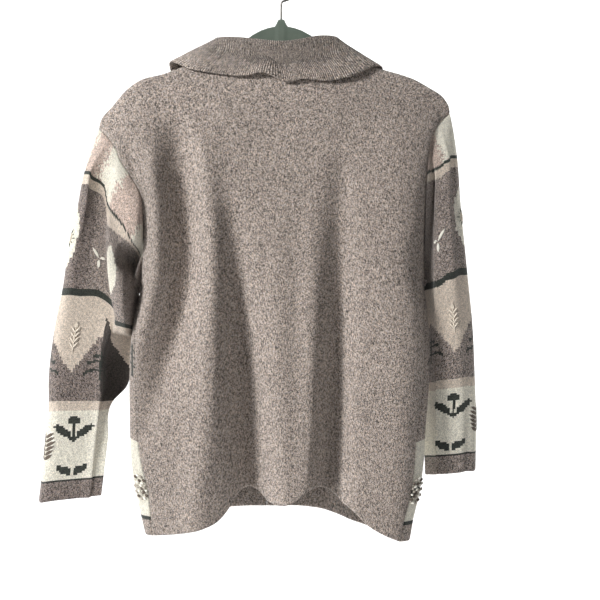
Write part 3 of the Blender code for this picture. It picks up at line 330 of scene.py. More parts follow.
# armhole and side seam of the back: down is the fraction of the way to the hem
Edge = namedtuple("Edge", "down x z depth")
BACK_LEFT = [
    Edge(0.000, -253, -211, 10), Edge(0.027, -241, -222, 26), Edge(0.067, -227, -241, 35),
    Edge(0.092, -221, -255, 38), Edge(0.147, -203, -282, 42), Edge(0.186, -192, -303, 41),
    Edge(0.234, -189, -332, 34), Edge(0.291, -189, -366, 25), Edge(0.360, -192, -407, 16),
    Edge(0.410, -195, -437, 12), Edge(0.477, -199, -475, 25), Edge(0.533, -200, -507, 32),
    Edge(0.611, -199, -551, 36), Edge(0.692, -198, -597, 37), Edge(0.783, -195, -649, 38),
    Edge(0.908, -181, -719, 38), Edge(1.000, -176, -770, 38),
]
BACK_RIGHT = [
    Edge(0.000, 234, -190, 8), Edge(0.035, 219, -204, 18), Edge(0.071, 208, -222, 26),
    Edge(0.105, 204, -242, 30), Edge(0.154, 200, -270, 30), Edge(0.223, 198, -311, 27),
    Edge(0.281, 197, -345, 22), Edge(0.338, 197, -379, 15), Edge(0.410, 197, -421, 10),
    Edge(0.477, 197, -462, 24), Edge(0.544, 197, -503, 33), Edge(0.656, 193, -571, 37),
    Edge(0.756, 185, -632, 38), Edge(0.841, 181, -684, 38), Edge(0.897, 176, -717, 38),
    Edge(0.949, 168, -747, 38), Edge(1.000, 162, -777, 38),
]
# the back's hem seen from behind
Hem = namedtuple("Hem", "x z")
BACK_HEM = [
    Hem(-176, -770), Hem(-148, -767), Hem(-126, -763), Hem(-103, -757), Hem(-85, -748),
    Hem(-70, -731), Hem(-60, -714), Hem(-46, -704), Hem(-32, -709), Hem(-18, -723), Hem(0, -727),
    Hem(18, -722), Hem(34, -710), Hem(50, -703), Hem(66, -708), Hem(82, -723), Hem(99, -736),
    Hem(118, -754), Hem(140, -767), Hem(162, -777),
]


def back_top(u):
    """The back's upper edge: shoulder, neck, shoulder."""
    left_x, left_z = shoulder_line(-1, np.clip(u / NECK_LEFT, 0, 1))
    right_x, right_z = shoulder_line(1, np.clip((1 - u) / (1 - NECK_RIGHT), 0, 1))
    t = np.clip((u - NECK_LEFT) / (NECK_RIGHT - NECK_LEFT), 0, 1)
    left, right = NECK_ENDS[-1], NECK_ENDS[1]
    neck_x = left.x + (right.x - left.x) * t
    ends_z = left.z + (right.z - left.z) * t
    sag = BACK_NECK_DROP + 0.5 * (left.z + right.z)
    neck_z = ends_z - sag * np.sin(math.pi * t) ** NECK_ROUND
    x = np.where(u < NECK_LEFT, left_x, np.where(u > NECK_RIGHT, right_x, neck_x))
    z = np.where(u < NECK_LEFT, left_z, np.where(u > NECK_RIGHT, right_z, neck_z))
    return x, z


def back_point(u, v):
    """Outer face of the back: u from the wearer's left to right, v from shoulder to hem."""
    u, v = np.broadcast_arrays(np.asarray(u, float), np.asarray(v, float))
    top_x, top_z = back_top(u)
    hem_x = BACK_LEFT[-1].x + (BACK_RIGHT[-1].x - BACK_LEFT[-1].x) * u
    hem_z = look_up(BACK_HEM, "x", "z", hem_x)
    x = (1 - v) * top_x + v * hem_x
    z = (1 - v) * top_z + v * hem_z
    near_left, near_right = (1 - u) ** 3, u ** 3
    for rows, near in ((BACK_LEFT, near_left), (BACK_RIGHT, near_right)):
        x = x + near * (look_up(rows, "down", "x", v) - (1 - v) * rows[0].x - v * rows[-1].x)
        z = z + near * (look_up(rows, "down", "z", v) - (1 - v) * rows[0].z - v * rows[-1].z)
    middle = look_up(DEPTHS, "down", "back", v)
    left = look_up(BACK_LEFT, "down", "depth", v)
    right = look_up(BACK_RIGHT, "down", "depth", v)
    to_left = np.clip(1 - u / EDGE_REACH, 0, 1) ** EDGE_CURVE[-1]
    to_right = np.clip(1 - (1 - u) / EDGE_REACH, 0, 1) ** EDGE_CURVE[1]
    depth = middle + (left - middle) * to_left + (right - middle) * to_right
    # the top edge lies a little off the ridge's own curve; that is taken out, less further down
    on_ridge = (u < NECK_LEFT) | (u > NECK_RIGHT)
    slip = on_ridge * (ridge_height(top_x) - top_z) * np.exp((z - top_z) / SETTLE)
    y = -fall_depth(ridge_height(x) - z - slip, depth) + fold_offset(BACK_FOLDS, x, z)
    return np.stack([x, y, z], axis=-1)


def side_seam(side, v):
    """The back's side edge, armhole and all."""
    return back_point(0.0 if side < 0 else 1.0, v)

# %% [markdown]
# The fronts.  Each wraps a little round the side seams, so a strip of it shows from behind.
# Only its side edge, its neck and its straight front edge are set; the rest blends between.

# %% The fronts
FRONT_NECK = 0.70       # where the neck starts, as a fraction of a front's width
# front edges of the armholes; the underarm row is taken from the back
FRONT_ARMHOLE = {
    -1: [Edge(0.00, -253, -211, 8), Edge(0.03, -244, -222, 18), Edge(0.07, -233, -243, 22),
         Edge(0.15, -221, -282, 26), Edge(0.23, -211, -325, 26), Edge(0.31, -203, -370, 20),
         Edge(0.36, -198, -405, 8)],
    1: [Edge(0.00, 234, -190, 8), Edge(0.03, 225, -203, 16), Edge(0.07, 216, -222, 22),
        Edge(0.15, 207, -268, 32), Edge(0.23, 202, -312, 34), Edge(0.31, 199, -360, 28),
        Edge(0.36, 197, -392, 14)],
}
# how far the fronts wrap round the side seams: the outline past the seam
Wrap = namedtuple("Wrap", "down left right")
WRAPS = [
    Wrap(0.00, 0, 0), Wrap(0.41, 0, 0), Wrap(0.48, 2.5, 3), Wrap(0.55, 7, 7), Wrap(0.62, 10.5, 9),
    Wrap(0.78, 14, 14), Wrap(0.90, 20, 14), Wrap(1.00, 12, 15),
]

# one front across, from its side seam to its front edge: across is the way to the middle,
# lap is the outward bulge in wraps, rise is the way from the seam's depth to the front's
Across = namedtuple("Across", "u across lap rise")
FRONT_ACROSS = {
    -1: [Across(0, 0, 0, 0), Across(0.08, 0.0, 0.8, 0.13), Across(0.16, 0.01, 1.0, 0.36),
         Across(0.24, 0.05, 0.9, 0.60), Across(0.32, 0.12, 0.6, 0.80), Across(0.42, 0.24, 0.3, 0.93),
         Across(0.55, 0.42, 0.1, 1.0), Across(0.75, 0.68, 0, 1.03), Across(1, 1, 0, 1.05)],
    1: [Across(0, 0, 0, 0), Across(0.08, 0.0, 0.9, 0.13), Across(0.16, 0.03, 0.9, 0.27),
        Across(0.24, 0.12, 0.5, 0.45), Across(0.32, 0.21, 0.2, 0.64), Across(0.42, 0.32, 0, 0.80),
        Across(0.55, 0.47, 0, 0.93), Across(0.75, 0.72, 0, 1.0), Across(1, 1, 0, 1.05)],
}

# front neck from the ridge to the front edge
Neck = namedtuple("Neck", "t x z")
FRONT_NECKLINE = {
    -1: [Neck(0, *NECK_ENDS[-1]), Neck(0.25, -92, -132), Neck(0.5, -80, -162), Neck(0.75, -55, -188),
         Neck(1, CENTRE_X - BAND_WIDTH / 2, -200)],
    1: [Neck(0, *NECK_ENDS[1]), Neck(0.25, 79, -131), Neck(0.5, 66, -162), Neck(0.75, 40, -188),
        Neck(1, CENTRE_X + BAND_WIDTH / 2, -200)],
}
FRONT_HEM_CENTRE = -738.0
TOP_SHAPE = 0.5         # as far down as this, a front still shows the shape of its top edge
SEAM_SHAPE = 0.12       # as far across as this, it shows the exact depth of its side edge
FOLDS_START = (0.05, 0.25)      # the folds grow between these places from the side seam
FOLDS_END = (1.0, 0.85)         # and die between these, before the band


def front_edge(side, v):
    """A front's side edge: its own armhole, then the shared side seam."""
    rows = FRONT_ARMHOLE[side]
    underarm = side_seam(side, UNDERARM)
    keys = np.append(column(rows, "down"), UNDERARM)
    x = smooth(keys, np.append(column(rows, "x"), underarm[0]), v)
    z = smooth(keys, np.append(column(rows, "z"), underarm[2]), v)
    depth = smooth(keys, np.append(column(rows, "depth"), underarm[1]), v)
    y = fall_depth(ridge_height(x) - z, depth)
    y = y + (underarm[1] - y) * ease(rows[-1].down, UNDERARM, v)
    armhole = np.stack([x, y, z], axis=-1)
    below = np.asarray(v)[..., None] >= UNDERARM
    return np.where(below, side_seam(side, v), armhole)


def front_top(side, u):
    """A front's upper edge: the shoulder, then the front neck."""
    x, z = shoulder_line(side, np.clip(u / FRONT_NECK, 0, 1))
    t = np.clip((u - FRONT_NECK) / (1 - FRONT_NECK), 0, 1)
    neck_x = look_up(FRONT_NECKLINE[side], "t", "x", t)
    neck_z = look_up(FRONT_NECKLINE[side], "t", "z", t)
    return np.where(u < FRONT_NECK, x, neck_x), np.where(u < FRONT_NECK, z, neck_z)


def centre_line(side, v):
    """The front edge that a band is sewn to; the right one laps over the left."""
    x = np.full(np.shape(v), CENTRE_X + side * BAND_WIDTH / 2)
    y = look_up(DEPTHS, "down", "centre", v) + (WALL + SEAM if side > 0 else 0.0)
    z = FRONT_NECKLINE[side][-1].z * (1 - v) + FRONT_HEM_CENTRE * v
    return np.stack([x, y, z], axis=-1)


def front_point(side, u, v):
    """Outer face of a front: u from its side seam to its front edge."""
    u, v = np.broadcast_arrays(np.asarray(u, float), np.asarray(v, float))
    edge = front_edge(side, v)
    centre = centre_line(side, v)
    rows = FRONT_ACROSS[side]
    wrap = look_up(WRAPS, "down", "left" if side < 0 else "right", v)
    wrapped = ease(*WRAP_ROWS, v)
    across = u + (look_up(rows, "u", "across", u) - u) * wrapped
    lap = look_up(rows, "u", "lap", u)
    level = rows[-1].rise * (1 - (1 - u) ** 2.5)
    rise = level + (look_up(rows, "u", "rise", u) - level) * wrapped
    # x: the shape of the top edge gives way to a row from the side edge to the front edge
    top_x, top_z = front_top(side, u)
    row_x = edge[..., 0] + (centre[..., 0] - edge[..., 0]) * across + side * wrap * lap
    grow = ease(0.0, TOP_SHAPE, v)
    x = top_x * (1 - grow) + row_x * grow
    tip_x, tip_z = front_top(side, np.zeros_like(u))
    end_x, end_z = front_top(side, np.ones_like(u))
    x = x + (1 - u) ** 3 * (1 - grow) * (edge[..., 0] - tip_x)
    x = x + u ** 3 * (1 - grow) * (centre[..., 0] - end_x)
    # z: a straight way down to the hem, bent at either side to meet the edge there
    corner_z = side_seam(side, 1.0)[2]
    hem_z = corner_z + (FRONT_HEM_CENTRE - corner_z) * ease(0.0, 0.9, u)
    z = (1 - v) * top_z + v * hem_z
    z = z + ease(1.0, 0.0, u) * (edge[..., 2] - (1 - v) * tip_z - v * corner_z)
    z = z + u ** 3 * (centre[..., 2] - (1 - v) * end_z - v * FRONT_HEM_CENTRE)
    # y: the fall off the ridge, the folds, and at either side the edge's own depth
    front = look_up(DEPTHS, "down", "front", v)
    depth = edge[..., 1] + (front - edge[..., 1]) * rise
    slip = (u < FRONT_NECK) * (ridge_height(top_x) - top_z) * np.exp((z - top_z) / SETTLE)
    y = fall_depth(ridge_height(x) - z - slip, depth)
    inside = ease(*FOLDS_START, u) * ease(*FOLDS_END, u)
    below = 1 - ease(FRONT_NECK + 0.1, FRONT_NECK, u) * np.exp(2 * (z - top_z) / SETTLE)
    y = y + inside * below * fold_offset(FRONT_FOLDS[side], x, z)
    y_edge = fall_depth(ridge_height(edge[..., 0]) - edge[..., 2], edge[..., 1])
    y = y + np.clip(1 - u / SEAM_SHAPE, 0, 1) ** 2 * (edge[..., 1] - y_edge)
    y_centre = fall_depth(ridge_height(centre[..., 0]) - centre[..., 2],
                          edge[..., 1] + (front - edge[..., 1]) * rows[-1].rise)
    y = y + u ** 4 * below * (centre[..., 1] - y_centre)
    return np.stack([x, y, z], axis=-1)

# %% [markdown]
# The sleeves.  A hung sleeve folds along its top and tucks a deep pleat under the arm.  Each
# row of a table is one section across it, from the armhole to the cuff, and every ring of
# stitches is a smooth curve through a section's few points.

# %% The sleeves
# sleeve sections from the armhole to the cuff.  outer is the sleeve's top fold, turn is where
# its lit face turns away, crease is the edge of the underarm pleat, inner is the underarm.
# mid is the depth of the top fold, back and front the cloth's reach from it, rise how far the
# pleat stands out, hollow how far the valley beside it goes in
Section = namedtuple("Section", "s outer_x outer_z turn_x turn_z crease_x crease_z "
                                "inner_x inner_y inner_z mid back rise hollow front")
SLEEVE_SECTIONS = {
    -1: [
        Section(0.000, -253, -211, -248, -216, -242, -226, -193, -12, -437, 0, 16, 4, 2, 16),
        Section(0.040, -260, -231, -251, -239, -240, -252, -196.2, -11, -441, -2, 22, 8, 3, 20),
        Section(0.123, -273, -273, -249, -287, -237, -319, -197.8, -4, -447, -5, 26, 13, 5, 24),
        Section(0.220, -283, -325, -250, -337, -240, -366, -200.4, 1, -456, -6, 27, 15, 8, 25),
        Section(0.330, -295, -381, -251, -388, -237, -424, -201.3, 3, -468, -6, 27, 14, 9, 25),
        Section(0.446, -303, -435, -250, -439, -228, -478, -204, 5, -487, -6, 27, 8, 10, 25),
        Section(0.530, -312, -479, -252, -481, -235, -500, -205.8, 5, -511, -6, 27, -8, 6, 25),
        Section(0.620, -319, -526, -256, -528, -245, -533, -208.4, 4, -543, -6, 27, -25, 2, 24),
        Section(0.690, -322, -562, -257, -564, -246, -566, -216, 4, -570, -5, 25, -23, 1, 23),
        Section(0.736, -322, -588, -258, -588, -249, -589, -233, -2, -588, -4, 22, -7, 1, 21),
        Section(0.850, -327, -648, -266, -646, -256, -645, -240, -4, -643, -3, 18, -4, 1, 18),
        Section(1.000, -336, -727, -278, -722, -264, -720, -249, -3, -718, -2, 13, -2, 0, 13),
    ],
    1: [
        Section(0.000, 234, -190, 227, -196, 220, -205, 196, -10, -421, 0, 16, 0, 0, 24),
        Section(0.050, 239, -215, 227, -224, 217, -243, 197.5, -11, -424, 1, 22, 0, 1, 31),
        Section(0.120, 244, -249, 220, -261, 213, -290, 197.5, -8, -430, 3, 25, 0, 1, 33),
        Section(0.250, 249, -312, 216, -325, 210, -352, 197, 0, -443, 5, 27, -1, 1, 33),
        Section(0.440, 258, -404, 217, -416, 210, -430, 197.5, 6, -466, 6, 29, -1, 1, 33),
        Section(0.600, 266, -485, 220, -492, 211, -498, 198, 12, -511, 8, 30, -2, 1, 32),
        Section(0.730, 269, -551, 222, -556, 212, -559, 197, 14, -562, 8, 28, -3, 1, 30),
        Section(0.870, 271, -620, 225, -624, 212, -626, 198, 14, -628, 8, 23, -3, 1, 26),
        Section(1.000, 270, -684, 228, -688, 214, -689, 200, 10, -691, 7, 15, -3, 0, 18),
    ],
}
FACE_TILT = {-1: 11.0, 1: -8.0}     # how far the lit face falls back from the fold to the crease
TILT_STARTS = (0.0, 0.15)   # the tilt grows between these fractions of the sleeve's length
TILT_EASES = (0.42, 0.55)   # and loses a part between these, where the pleat ends
TILT_LOSS = 0.3
FOLD_ROLL = 14.0        # how far the roll of the top fold reaches over the lit face
SLEEVE_HEAD = 0.14      # the part of a sleeve that takes up the armhole's shape
CREASE_POINT = 6        # place of the crease among a section's points on the back
HOLLOW_MARGIN = 9.0     # the hollows die away this close to the underarm
# places where the pleat's cloth goes in, or out where depth is negative
Hollow = namedtuple("Hollow", "x z half_width half_height depth")
PLEAT_HOLLOWS = {
    -1: [Hollow(-206, -391, 15, 19, 34), Hollow(-199, -418, 7, 26, 22),
         Hollow(-219, -446, 12, 26, -7)],
    1: [],
}


def resample(points, fractions):
    """Points at the given fractions of a polyline's length."""
    length = running_length(points)
    at = np.asarray(fractions) * length[-1]
    return np.stack([np.interp(at, length, points[:, k]) for k in range(3)], axis=-1)


def curve_through(points, marked=0, count=160):
    """A dense smooth curve through a few points, and where it passes the marked one."""
    points = np.asarray(points, float)
    steps = np.sqrt(np.linalg.norm(np.diff(points, axis=0), axis=1))
    keys = np.concatenate([[0], np.cumsum(steps)])
    at = np.linspace(0, keys[-1], count)
    return smooth(keys, points, at), int(np.argmin(np.abs(at - keys[marked])))


def sleeve_section(side, s):
    """A sleeve section: the back from the top fold to the crease and on to the underarm, and
    the front from the top fold to the underarm.

    The plain numbers are shares of the way between two places that the row names.
    """
    rows = SLEEVE_SECTIONS[side]
    row = Section(s, *[float(look_up(rows, "s", name, s)) for name in Section._fields[1:]])
    face = row.mid - row.back
    pleat = face - row.rise
    rim = side * min(FOLD_ROLL, 0.45 * abs(row.turn_x - row.outer_x))
    tilt = FACE_TILT[side] * float(ease(*TILT_STARTS, s))
    tilt = tilt * (1 - TILT_LOSS * float(ease(*TILT_EASES, s)))
    lean = float(np.clip(-row.rise / 2, 0.0, 1.0))      # 1 where the pleat sinks back
    width = row.inner_x - row.crease_x
    fall = row.inner_z - row.crease_z
    back = [
        (row.outer_x, row.mid, row.outer_z),
        (row.outer_x - 0.3 * rim, row.mid - 0.68 * row.back, row.outer_z - 1),
        (row.outer_x - rim, row.mid - 0.95 * row.back, 0.85 * row.outer_z + 0.15 * row.turn_z),
        ((row.outer_x + row.turn_x) / 2, face - 1 + 0.5 * tilt, (row.outer_z + row.turn_z) / 2),
        (row.turn_x, face + 1 + tilt, row.turn_z),
        (row.crease_x, face + tilt + max(row.hollow - max(tilt, 0.0), 0.0),
         (row.turn_z + row.crease_z) / 2),
        (row.crease_x + 0.06 * width, pleat + (0.45 - 0.30 * lean) * row.rise + lean * tilt,
         row.crease_z),
        (row.crease_x + 0.30 * width, pleat + lean * (tilt + 0.20 * (row.inner_y - pleat - tilt)),
         row.crease_z + 0.25 * fall),
        (row.crease_x + 0.68 * width, pleat - 0.15 * row.rise * (1 - lean)
         + lean * (tilt + 0.60 * (row.inner_y - pleat - tilt)), row.crease_z + 0.55 * fall),
        (row.inner_x, pleat + (0.5 + 0.35 * lean) * (row.inner_y - pleat),
         row.crease_z + 0.85 * fall),
        (row.inner_x, row.inner_y, row.inner_z),
    ]
    reach = row.inner_x - row.outer_x
    face = row.mid + row.front
    front = [
        (row.outer_x, row.mid, row.outer_z),
        (row.outer_x + 0.04 * reach, row.mid + 0.7 * row.front, row.outer_z - 1),
        (row.outer_x + 0.20 * reach, face, 0.85 * row.outer_z + 0.15 * row.inner_z),
        (row.outer_x + 0.55 * reach, face, 0.5 * row.outer_z + 0.5 * row.inner_z),
        (row.inner_x - 0.12 * reach, row.inner_y + 0.72 * (face - row.inner_y),
         0.15 * row.outer_z + 0.85 * row.inner_z),
        (row.inner_x, row.inner_y, row.inner_z),
    ]
    back, crease = curve_through(back, CREASE_POINT)
    from_underarm = ease(0.0, HOLLOW_MARGIN, np.abs(back[:, 0] - row.inner_x))
    for hollow in PLEAT_HOLLOWS[side]:
        across = (back[:, 0] - hollow.x) / hollow.half_width
        along = (back[:, 2] - hollow.z) / hollow.half_height
        shape = np.exp(-(across ** 2 + along ** 2) ** 1.6)
        back[:, 1] += hollow.depth * shape * from_underarm
    return back[:crease + 1], back[crease:], curve_through(front)[0]


def sleeve_halves(side, s, fractions, crease_index):
    """A sleeve ring's halves; near the armhole they turn into the armhole itself."""
    back, front = sleeve_lines(side, s, fractions, crease_index)
    if s < SLEEVE_HEAD:
        start_back, start_front = sleeve_lines(side, 0.0, fractions, crease_index)
        keep = 1 - ease(0.0, SLEEVE_HEAD, s)
        back = back + keep * (side_seam(side, fractions * UNDERARM) - start_back)
        front = front + keep * (front_edge(side, fractions * UNDERARM) - start_front)
    return back, front


def sleeve_lines(side, s, fractions, crease_index):
    """Points along a section; the same one of them is on the crease in every ring."""
    outer, inner, front = sleeve_section(side, s)
    crease = fractions[crease_index]
    back = np.concatenate([
        resample(outer, fractions[:crease_index] / crease),
        resample(inner, (fractions[crease_index:] - crease) / (1 - crease)),
    ])
    return back, resample(front, fractions)

# %% [markdown]
# The collar stands up from the neck, rolls over and falls flat on the shoulders; its rim
# ripples at the middle of the back.  Stations round the neck give the roll and the rim.

# %% The collar
# stations round the neck from the wearer's left front to right front.
# t is the place on the neck seam, roll is the fold on top, edge is the rim of the fall,
# lift holds the edge off the cloth under it; on the shoulders edge_y says its depth instead
Station = namedtuple("Station", "t roll_x roll_y roll_z edge_x edge_z lift edge_y")
COLLAR = [
    Station(0.000, -26, 49, -189, -62, -262, 7, None),
    Station(0.060, -56, 44, -175, -95, -234, 6, None),
    Station(0.125, -81, 34, -146, -124, -190, 6, None),
    Station(0.200, -95, 19, -104, -150, -142, None, 28),
    Station(0.250, -92, 1, -87, -155, -117, None, 2),
    Station(0.300, -84, -14, -85.5, -128, -129, 6, None),
    Station(0.360, -62, -23, -86.5, -90, -137, 6, None),
    Station(0.430, -35, -28, -89.5, -50, -141, 7, None),
    Station(0.475, -16, -30, -92, -21, -138, 10, None),
    Station(0.505, -2, -30, -93, 2, -148, 5, None),
    Station(0.570, 23, -28, -90.5, 32, -145.5, 6, None),
    Station(0.640, 52, -22, -84.5, 71, -147, 6, None),
    Station(0.700, 74, -12, -84.5, 108, -136, 7, None),
    Station(0.728, 78.5, -5, -86, 128, -125.5, 7.5, None),
    Station(0.750, 81, 2, -89, 139, -123, None, 0),
    Station(0.800, 80, 19, -104, 137, -148, None, 28),
    Station(0.875, 66, 34, -146, 108, -192, 8, None),
    Station(0.940, 40, 44, -175, 79, -235, 8, None),
    Station(1.000, 10, 52, -189, 46, -262, 8, None),
]
COLLAR_SPARE = 3.0      # allowance for the panels' bulge under the collar
STAND_LEAN = 1.5        # how far the stand leans in
ROLL_IN = (3.2, 2.5)    # the cloth beside the roll, on its neck side: inwards and down
ROLL_OUT = (3.6, 2.0)   # and on its outer side: outwards and down
TUCK = (9.0, 2.0)       # the soft fold across the fall at the back: inwards, and at the flare
TUCK_AT = 0.48          # where that fold lies on the way from the roll to the rim
FLARE_AT = 0.78
BEHIND = ((0.27, 0.36), (0.73, 0.66))   # it grows and dies between these places on the neck
# where the guides from the neck seam to the rim lie, as fractions of the way over the collar
GUIDES_AT = (0.0, 0.16, 0.34, 0.46, 0.58, 0.76, 0.88, 1.0)


def collar_point(seam, t, w):
    """Neck side of the stand, then the roll, then the outer side of the fall: w runs 0 to 1."""
    stations = column(COLLAR, "t")
    roll = smooth(stations, [(row.roll_x, row.roll_y, row.roll_z) for row in COLLAR], t)
    rim = smooth(stations, [rim_point(row) for row in COLLAR], t)
    outward = unit((rim - roll) * np.array([1.0, 1.0, 0.0]))
    up = np.array([0.0, 0.0, 1.0])
    stand = 0.5 * (seam + roll) - STAND_LEAN * outward
    fold_in = roll - ROLL_IN[0] * outward - ROLL_IN[1] * up
    fold_out = roll + ROLL_OUT[0] * outward - ROLL_OUT[1] * up
    behind = (ease(*BEHIND[0], t) * ease(*BEHIND[1], t))[:, None]
    tuck = (1 - TUCK_AT) * roll + TUCK_AT * rim + (1 - behind - TUCK[0] * behind) * outward
    flare = (1 - FLARE_AT) * roll + FLARE_AT * rim - TUCK[1] * behind * outward
    guides = [seam, stand, fold_in, roll, fold_out, tuck, flare, rim]
    return smooth(GUIDES_AT, guides, w)


def rim_point(row):
    """The collar rim at a station, lifted off the cloth under it where the row says so."""
    if row.edge_y is not None:
        return (row.edge_x, row.edge_y, row.edge_z)
    under = cloth_depth(row.edge_x, row.edge_z, row.roll_y < 0)
    away = WALL + row.lift
    return (row.edge_x, under - away if row.roll_y < 0 else under + away, row.edge_z)


def cloth_depth(x, z, behind):
    """Depth of the body's outer face at a place near the neck."""
    depth = DEPTHS[0].back if behind else DEPTHS[0].front
    fall = float(fall_depth(ridge_height(x) - z, depth + COLLAR_SPARE))
    return -fall if behind else fall

# %% [markdown]
# Cloth has a thickness.  Each grid gets an outward vector at every point, and the vectors of
# two pieces are made one where they are sewn together, so their walls meet edge to edge.

# %% Outward vectors
MITRE = 0.55            # limit on how far a wall's corner reaches at a sharp bend


def grid_offsets(points, wraps, toward):
    """Outward vectors at the grid's points, longer at bends so that the wall keeps its size."""
    ahead = np.roll(points, -1, axis=1) if wraps else points[:, 1:]
    here = points if wraps else points[:, :-1]
    cells = np.cross(ahead[1:] - here[:-1], ahead[:-1] - here[1:])
    middles = 0.25 * (ahead[1:] + here[:-1] + ahead[:-1] + here[1:])
    if np.sum(cells * toward(middles)) < 0:
        cells = -cells
    cells = unit(cells)
    if not wraps:
        cells = np.concatenate([cells[:, :1], cells, cells[:, -1:]], axis=1)
    else:
        cells = np.concatenate([cells[:, -1:], cells], axis=1)
    cells = np.concatenate([cells[:1], cells, cells[-1:]], axis=0)
    corners = [cells[:-1, :-1], cells[:-1, 1:], cells[1:, :-1], cells[1:, 1:]]
    normals = unit(sum(corners))
    facing = sum(np.sum(normals * corner, axis=-1) for corner in corners) / 4
    return normals / np.clip(facing, MITRE, 1.0)[..., None]


def meet(*outs):
    """The outward vector that passes as far through the wall of each piece at a seam."""
    normals = unit(np.array(outs))
    reach = np.linalg.lstsq(normals, np.ones(len(outs)), rcond=0.2)[0]
    return unit(reach) * min(np.linalg.norm(reach), 1 / MITRE)


def join(places):
    """Give the same point of two or three pieces one outward vector."""
    shared = meet(*[out[at] for out, at in places])
    for out, at in places:
        out[at] = shared


def draw_in(line, next_line, gap):
    """Move an edge a little towards the next line of points."""
    return line + gap * unit(next_line - line)

# %% [markdown]
# Knitted cloth in nodes.  A knit stitch is a V: two legs of yarn that lean together.  Here the
# V is worked out from the cloth's own flat coordinates in metres, so it keeps its size and
# follows every fold.  Real stitches as geometry would take millions of faces; a bump from the
# same pattern reads the same at arm's length.

# %% Node helpers
WALE = 0.0033           # width of a stitch
COURSE = 0.0025         # height of a stitch
CLOTH_MAP = "cloth"     # name of the flat coordinates on each knitted mesh


def math_node(tree, kind, *values):
    node = tree.nodes.new("ShaderNodeMath")
    node.operation = kind
    for socket, value in zip(node.inputs, values):
        give(tree, socket, value)
    return node.outputs[0]


def new_group(name, inputs, outputs):
    """A shader node group with named sockets; inputs map a name to a kind and a value."""
    group = bpy.data.node_groups.new(name, "ShaderNodeTree")
    for title, (kind, value) in inputs.items():
        socket = group.interface.new_socket(title, in_out="INPUT", socket_type=kind)
        socket.default_value = value
    for title, kind in outputs.items():
        group.interface.new_socket(title, in_out="OUTPUT", socket_type=kind)
    return group, group.nodes.new("NodeGroupInput").outputs, group.nodes.new("NodeGroupOutput")


def use_group(tree, group):
    node = tree.nodes.new("ShaderNodeGroup")
    node.node_tree = group
    return node


def flat_place(tree):
    """The cloth's own flat coordinates in metres: x across the stitches, y down the rows."""
    node = tree.nodes.new("ShaderNodeUVMap")
    node.uv_map = CLOTH_MAP
    return node.outputs["UV"]


def split(tree, vector):
    return set_inputs(tree, tree.nodes.new("ShaderNodeSeparateXYZ"), Vector=vector).outputs


def vector_of(tree, x, y, z=0.0):
    return set_inputs(tree, tree.nodes.new("ShaderNodeCombineXYZ"), X=x, Y=y, Z=z).outputs[0]


def chance(tree, cell):
    """A random number from 0 to 1, the same all over one cell of whole numbers."""
    node = tree.nodes.new("ShaderNodeTexWhiteNoise")
    node.noise_dimensions = "3D"
    return set_inputs(tree, node, Vector=cell).outputs["Value"]


def add_noise(tree, coordinates, scale, detail, roughness):
    node = tree.nodes.new("ShaderNodeTexNoise")
    set_inputs(tree, node, Vector=coordinates, Scale=scale, Detail=detail, Roughness=roughness)
    return node.outputs["Fac"]


def add_bump(tree, shader, height, strength, distance):
    bump = set_inputs(tree, tree.nodes.new("ShaderNodeBump"), Height=height, Strength=strength,
                      Distance=distance)
    set_inputs(tree, shader, Normal=bump.outputs["Normal"])


# %% The stitch group
LEG_LEAN = 1.2          # rows that a leg would climb over a stitch's whole width
PLIES_ACROSS = 3.0      # plies to a stitch
PLIES_ALONG = 2.5       # and to a row


def make_stitch_group():
    """The V of a stitch: its height, its groove and a random number for each leg and ply."""
    number = "NodeSocketFloat"
    group, given, result = new_group(
        "knit_stitch",
        {"Wale": (number, WALE), "Course": (number, COURSE), "Fuzz": (number, 0.25)},
        {"Height": number, "Leg": number, "Ply": number, "Groove": number})
    calc = partial(math_node, group)
    place = flat_place(group)
    flat = split(group, place)
    wale = calc("DIVIDE", flat["X"], given["Wale"])
    course = calc("DIVIDE", flat["Y"], given["Course"])
    across = calc("FRACT", wale)
    off = calc("ABSOLUTE", calc("SUBTRACT", across, 0.5))
    lean = calc("MULTIPLY_ADD", off, LEG_LEAN, course)
    # a leg is round across and along: one minus the square of the way from its middle
    side = calc("MULTIPLY_ADD", off, 4.0, -1.0)
    round_across = calc("SUBTRACT", 1.0, calc("POWER", calc("ABSOLUTE", side), 2.0))
    end = calc("MULTIPLY_ADD", calc("FRACT", lean), 2.0, -1.0)
    round_along = calc("SUBTRACT", 1.0, calc("POWER", calc("ABSOLUTE", end), 2.0))
    body = calc("MULTIPLY", round_across, calc("MULTIPLY_ADD", round_along, 0.5, 0.5))
    fibre = add_noise(group, place, 1700.0, 3.0, 0.7)
    right_leg = calc("MULTIPLY", calc("GREATER_THAN", across, 0.5), 0.5)
    leg = vector_of(group, calc("ADD", calc("FLOOR", wale), right_leg), calc("FLOOR", lean))
    # the third number keeps the plies' cells apart from the legs'
    ply = vector_of(group, calc("FLOOR", calc("MULTIPLY", wale, PLIES_ACROSS)),
                    calc("FLOOR", calc("MULTIPLY", lean, PLIES_ALONG)), 7.0)
    set_inputs(group, result, Height=calc("MULTIPLY_ADD", fibre, given["Fuzz"], body),
               Leg=chance(group, leg), Ply=chance(group, ply), Groove=body)
    return group


STITCH = make_stitch_group()
print("node group", STITCH.name)
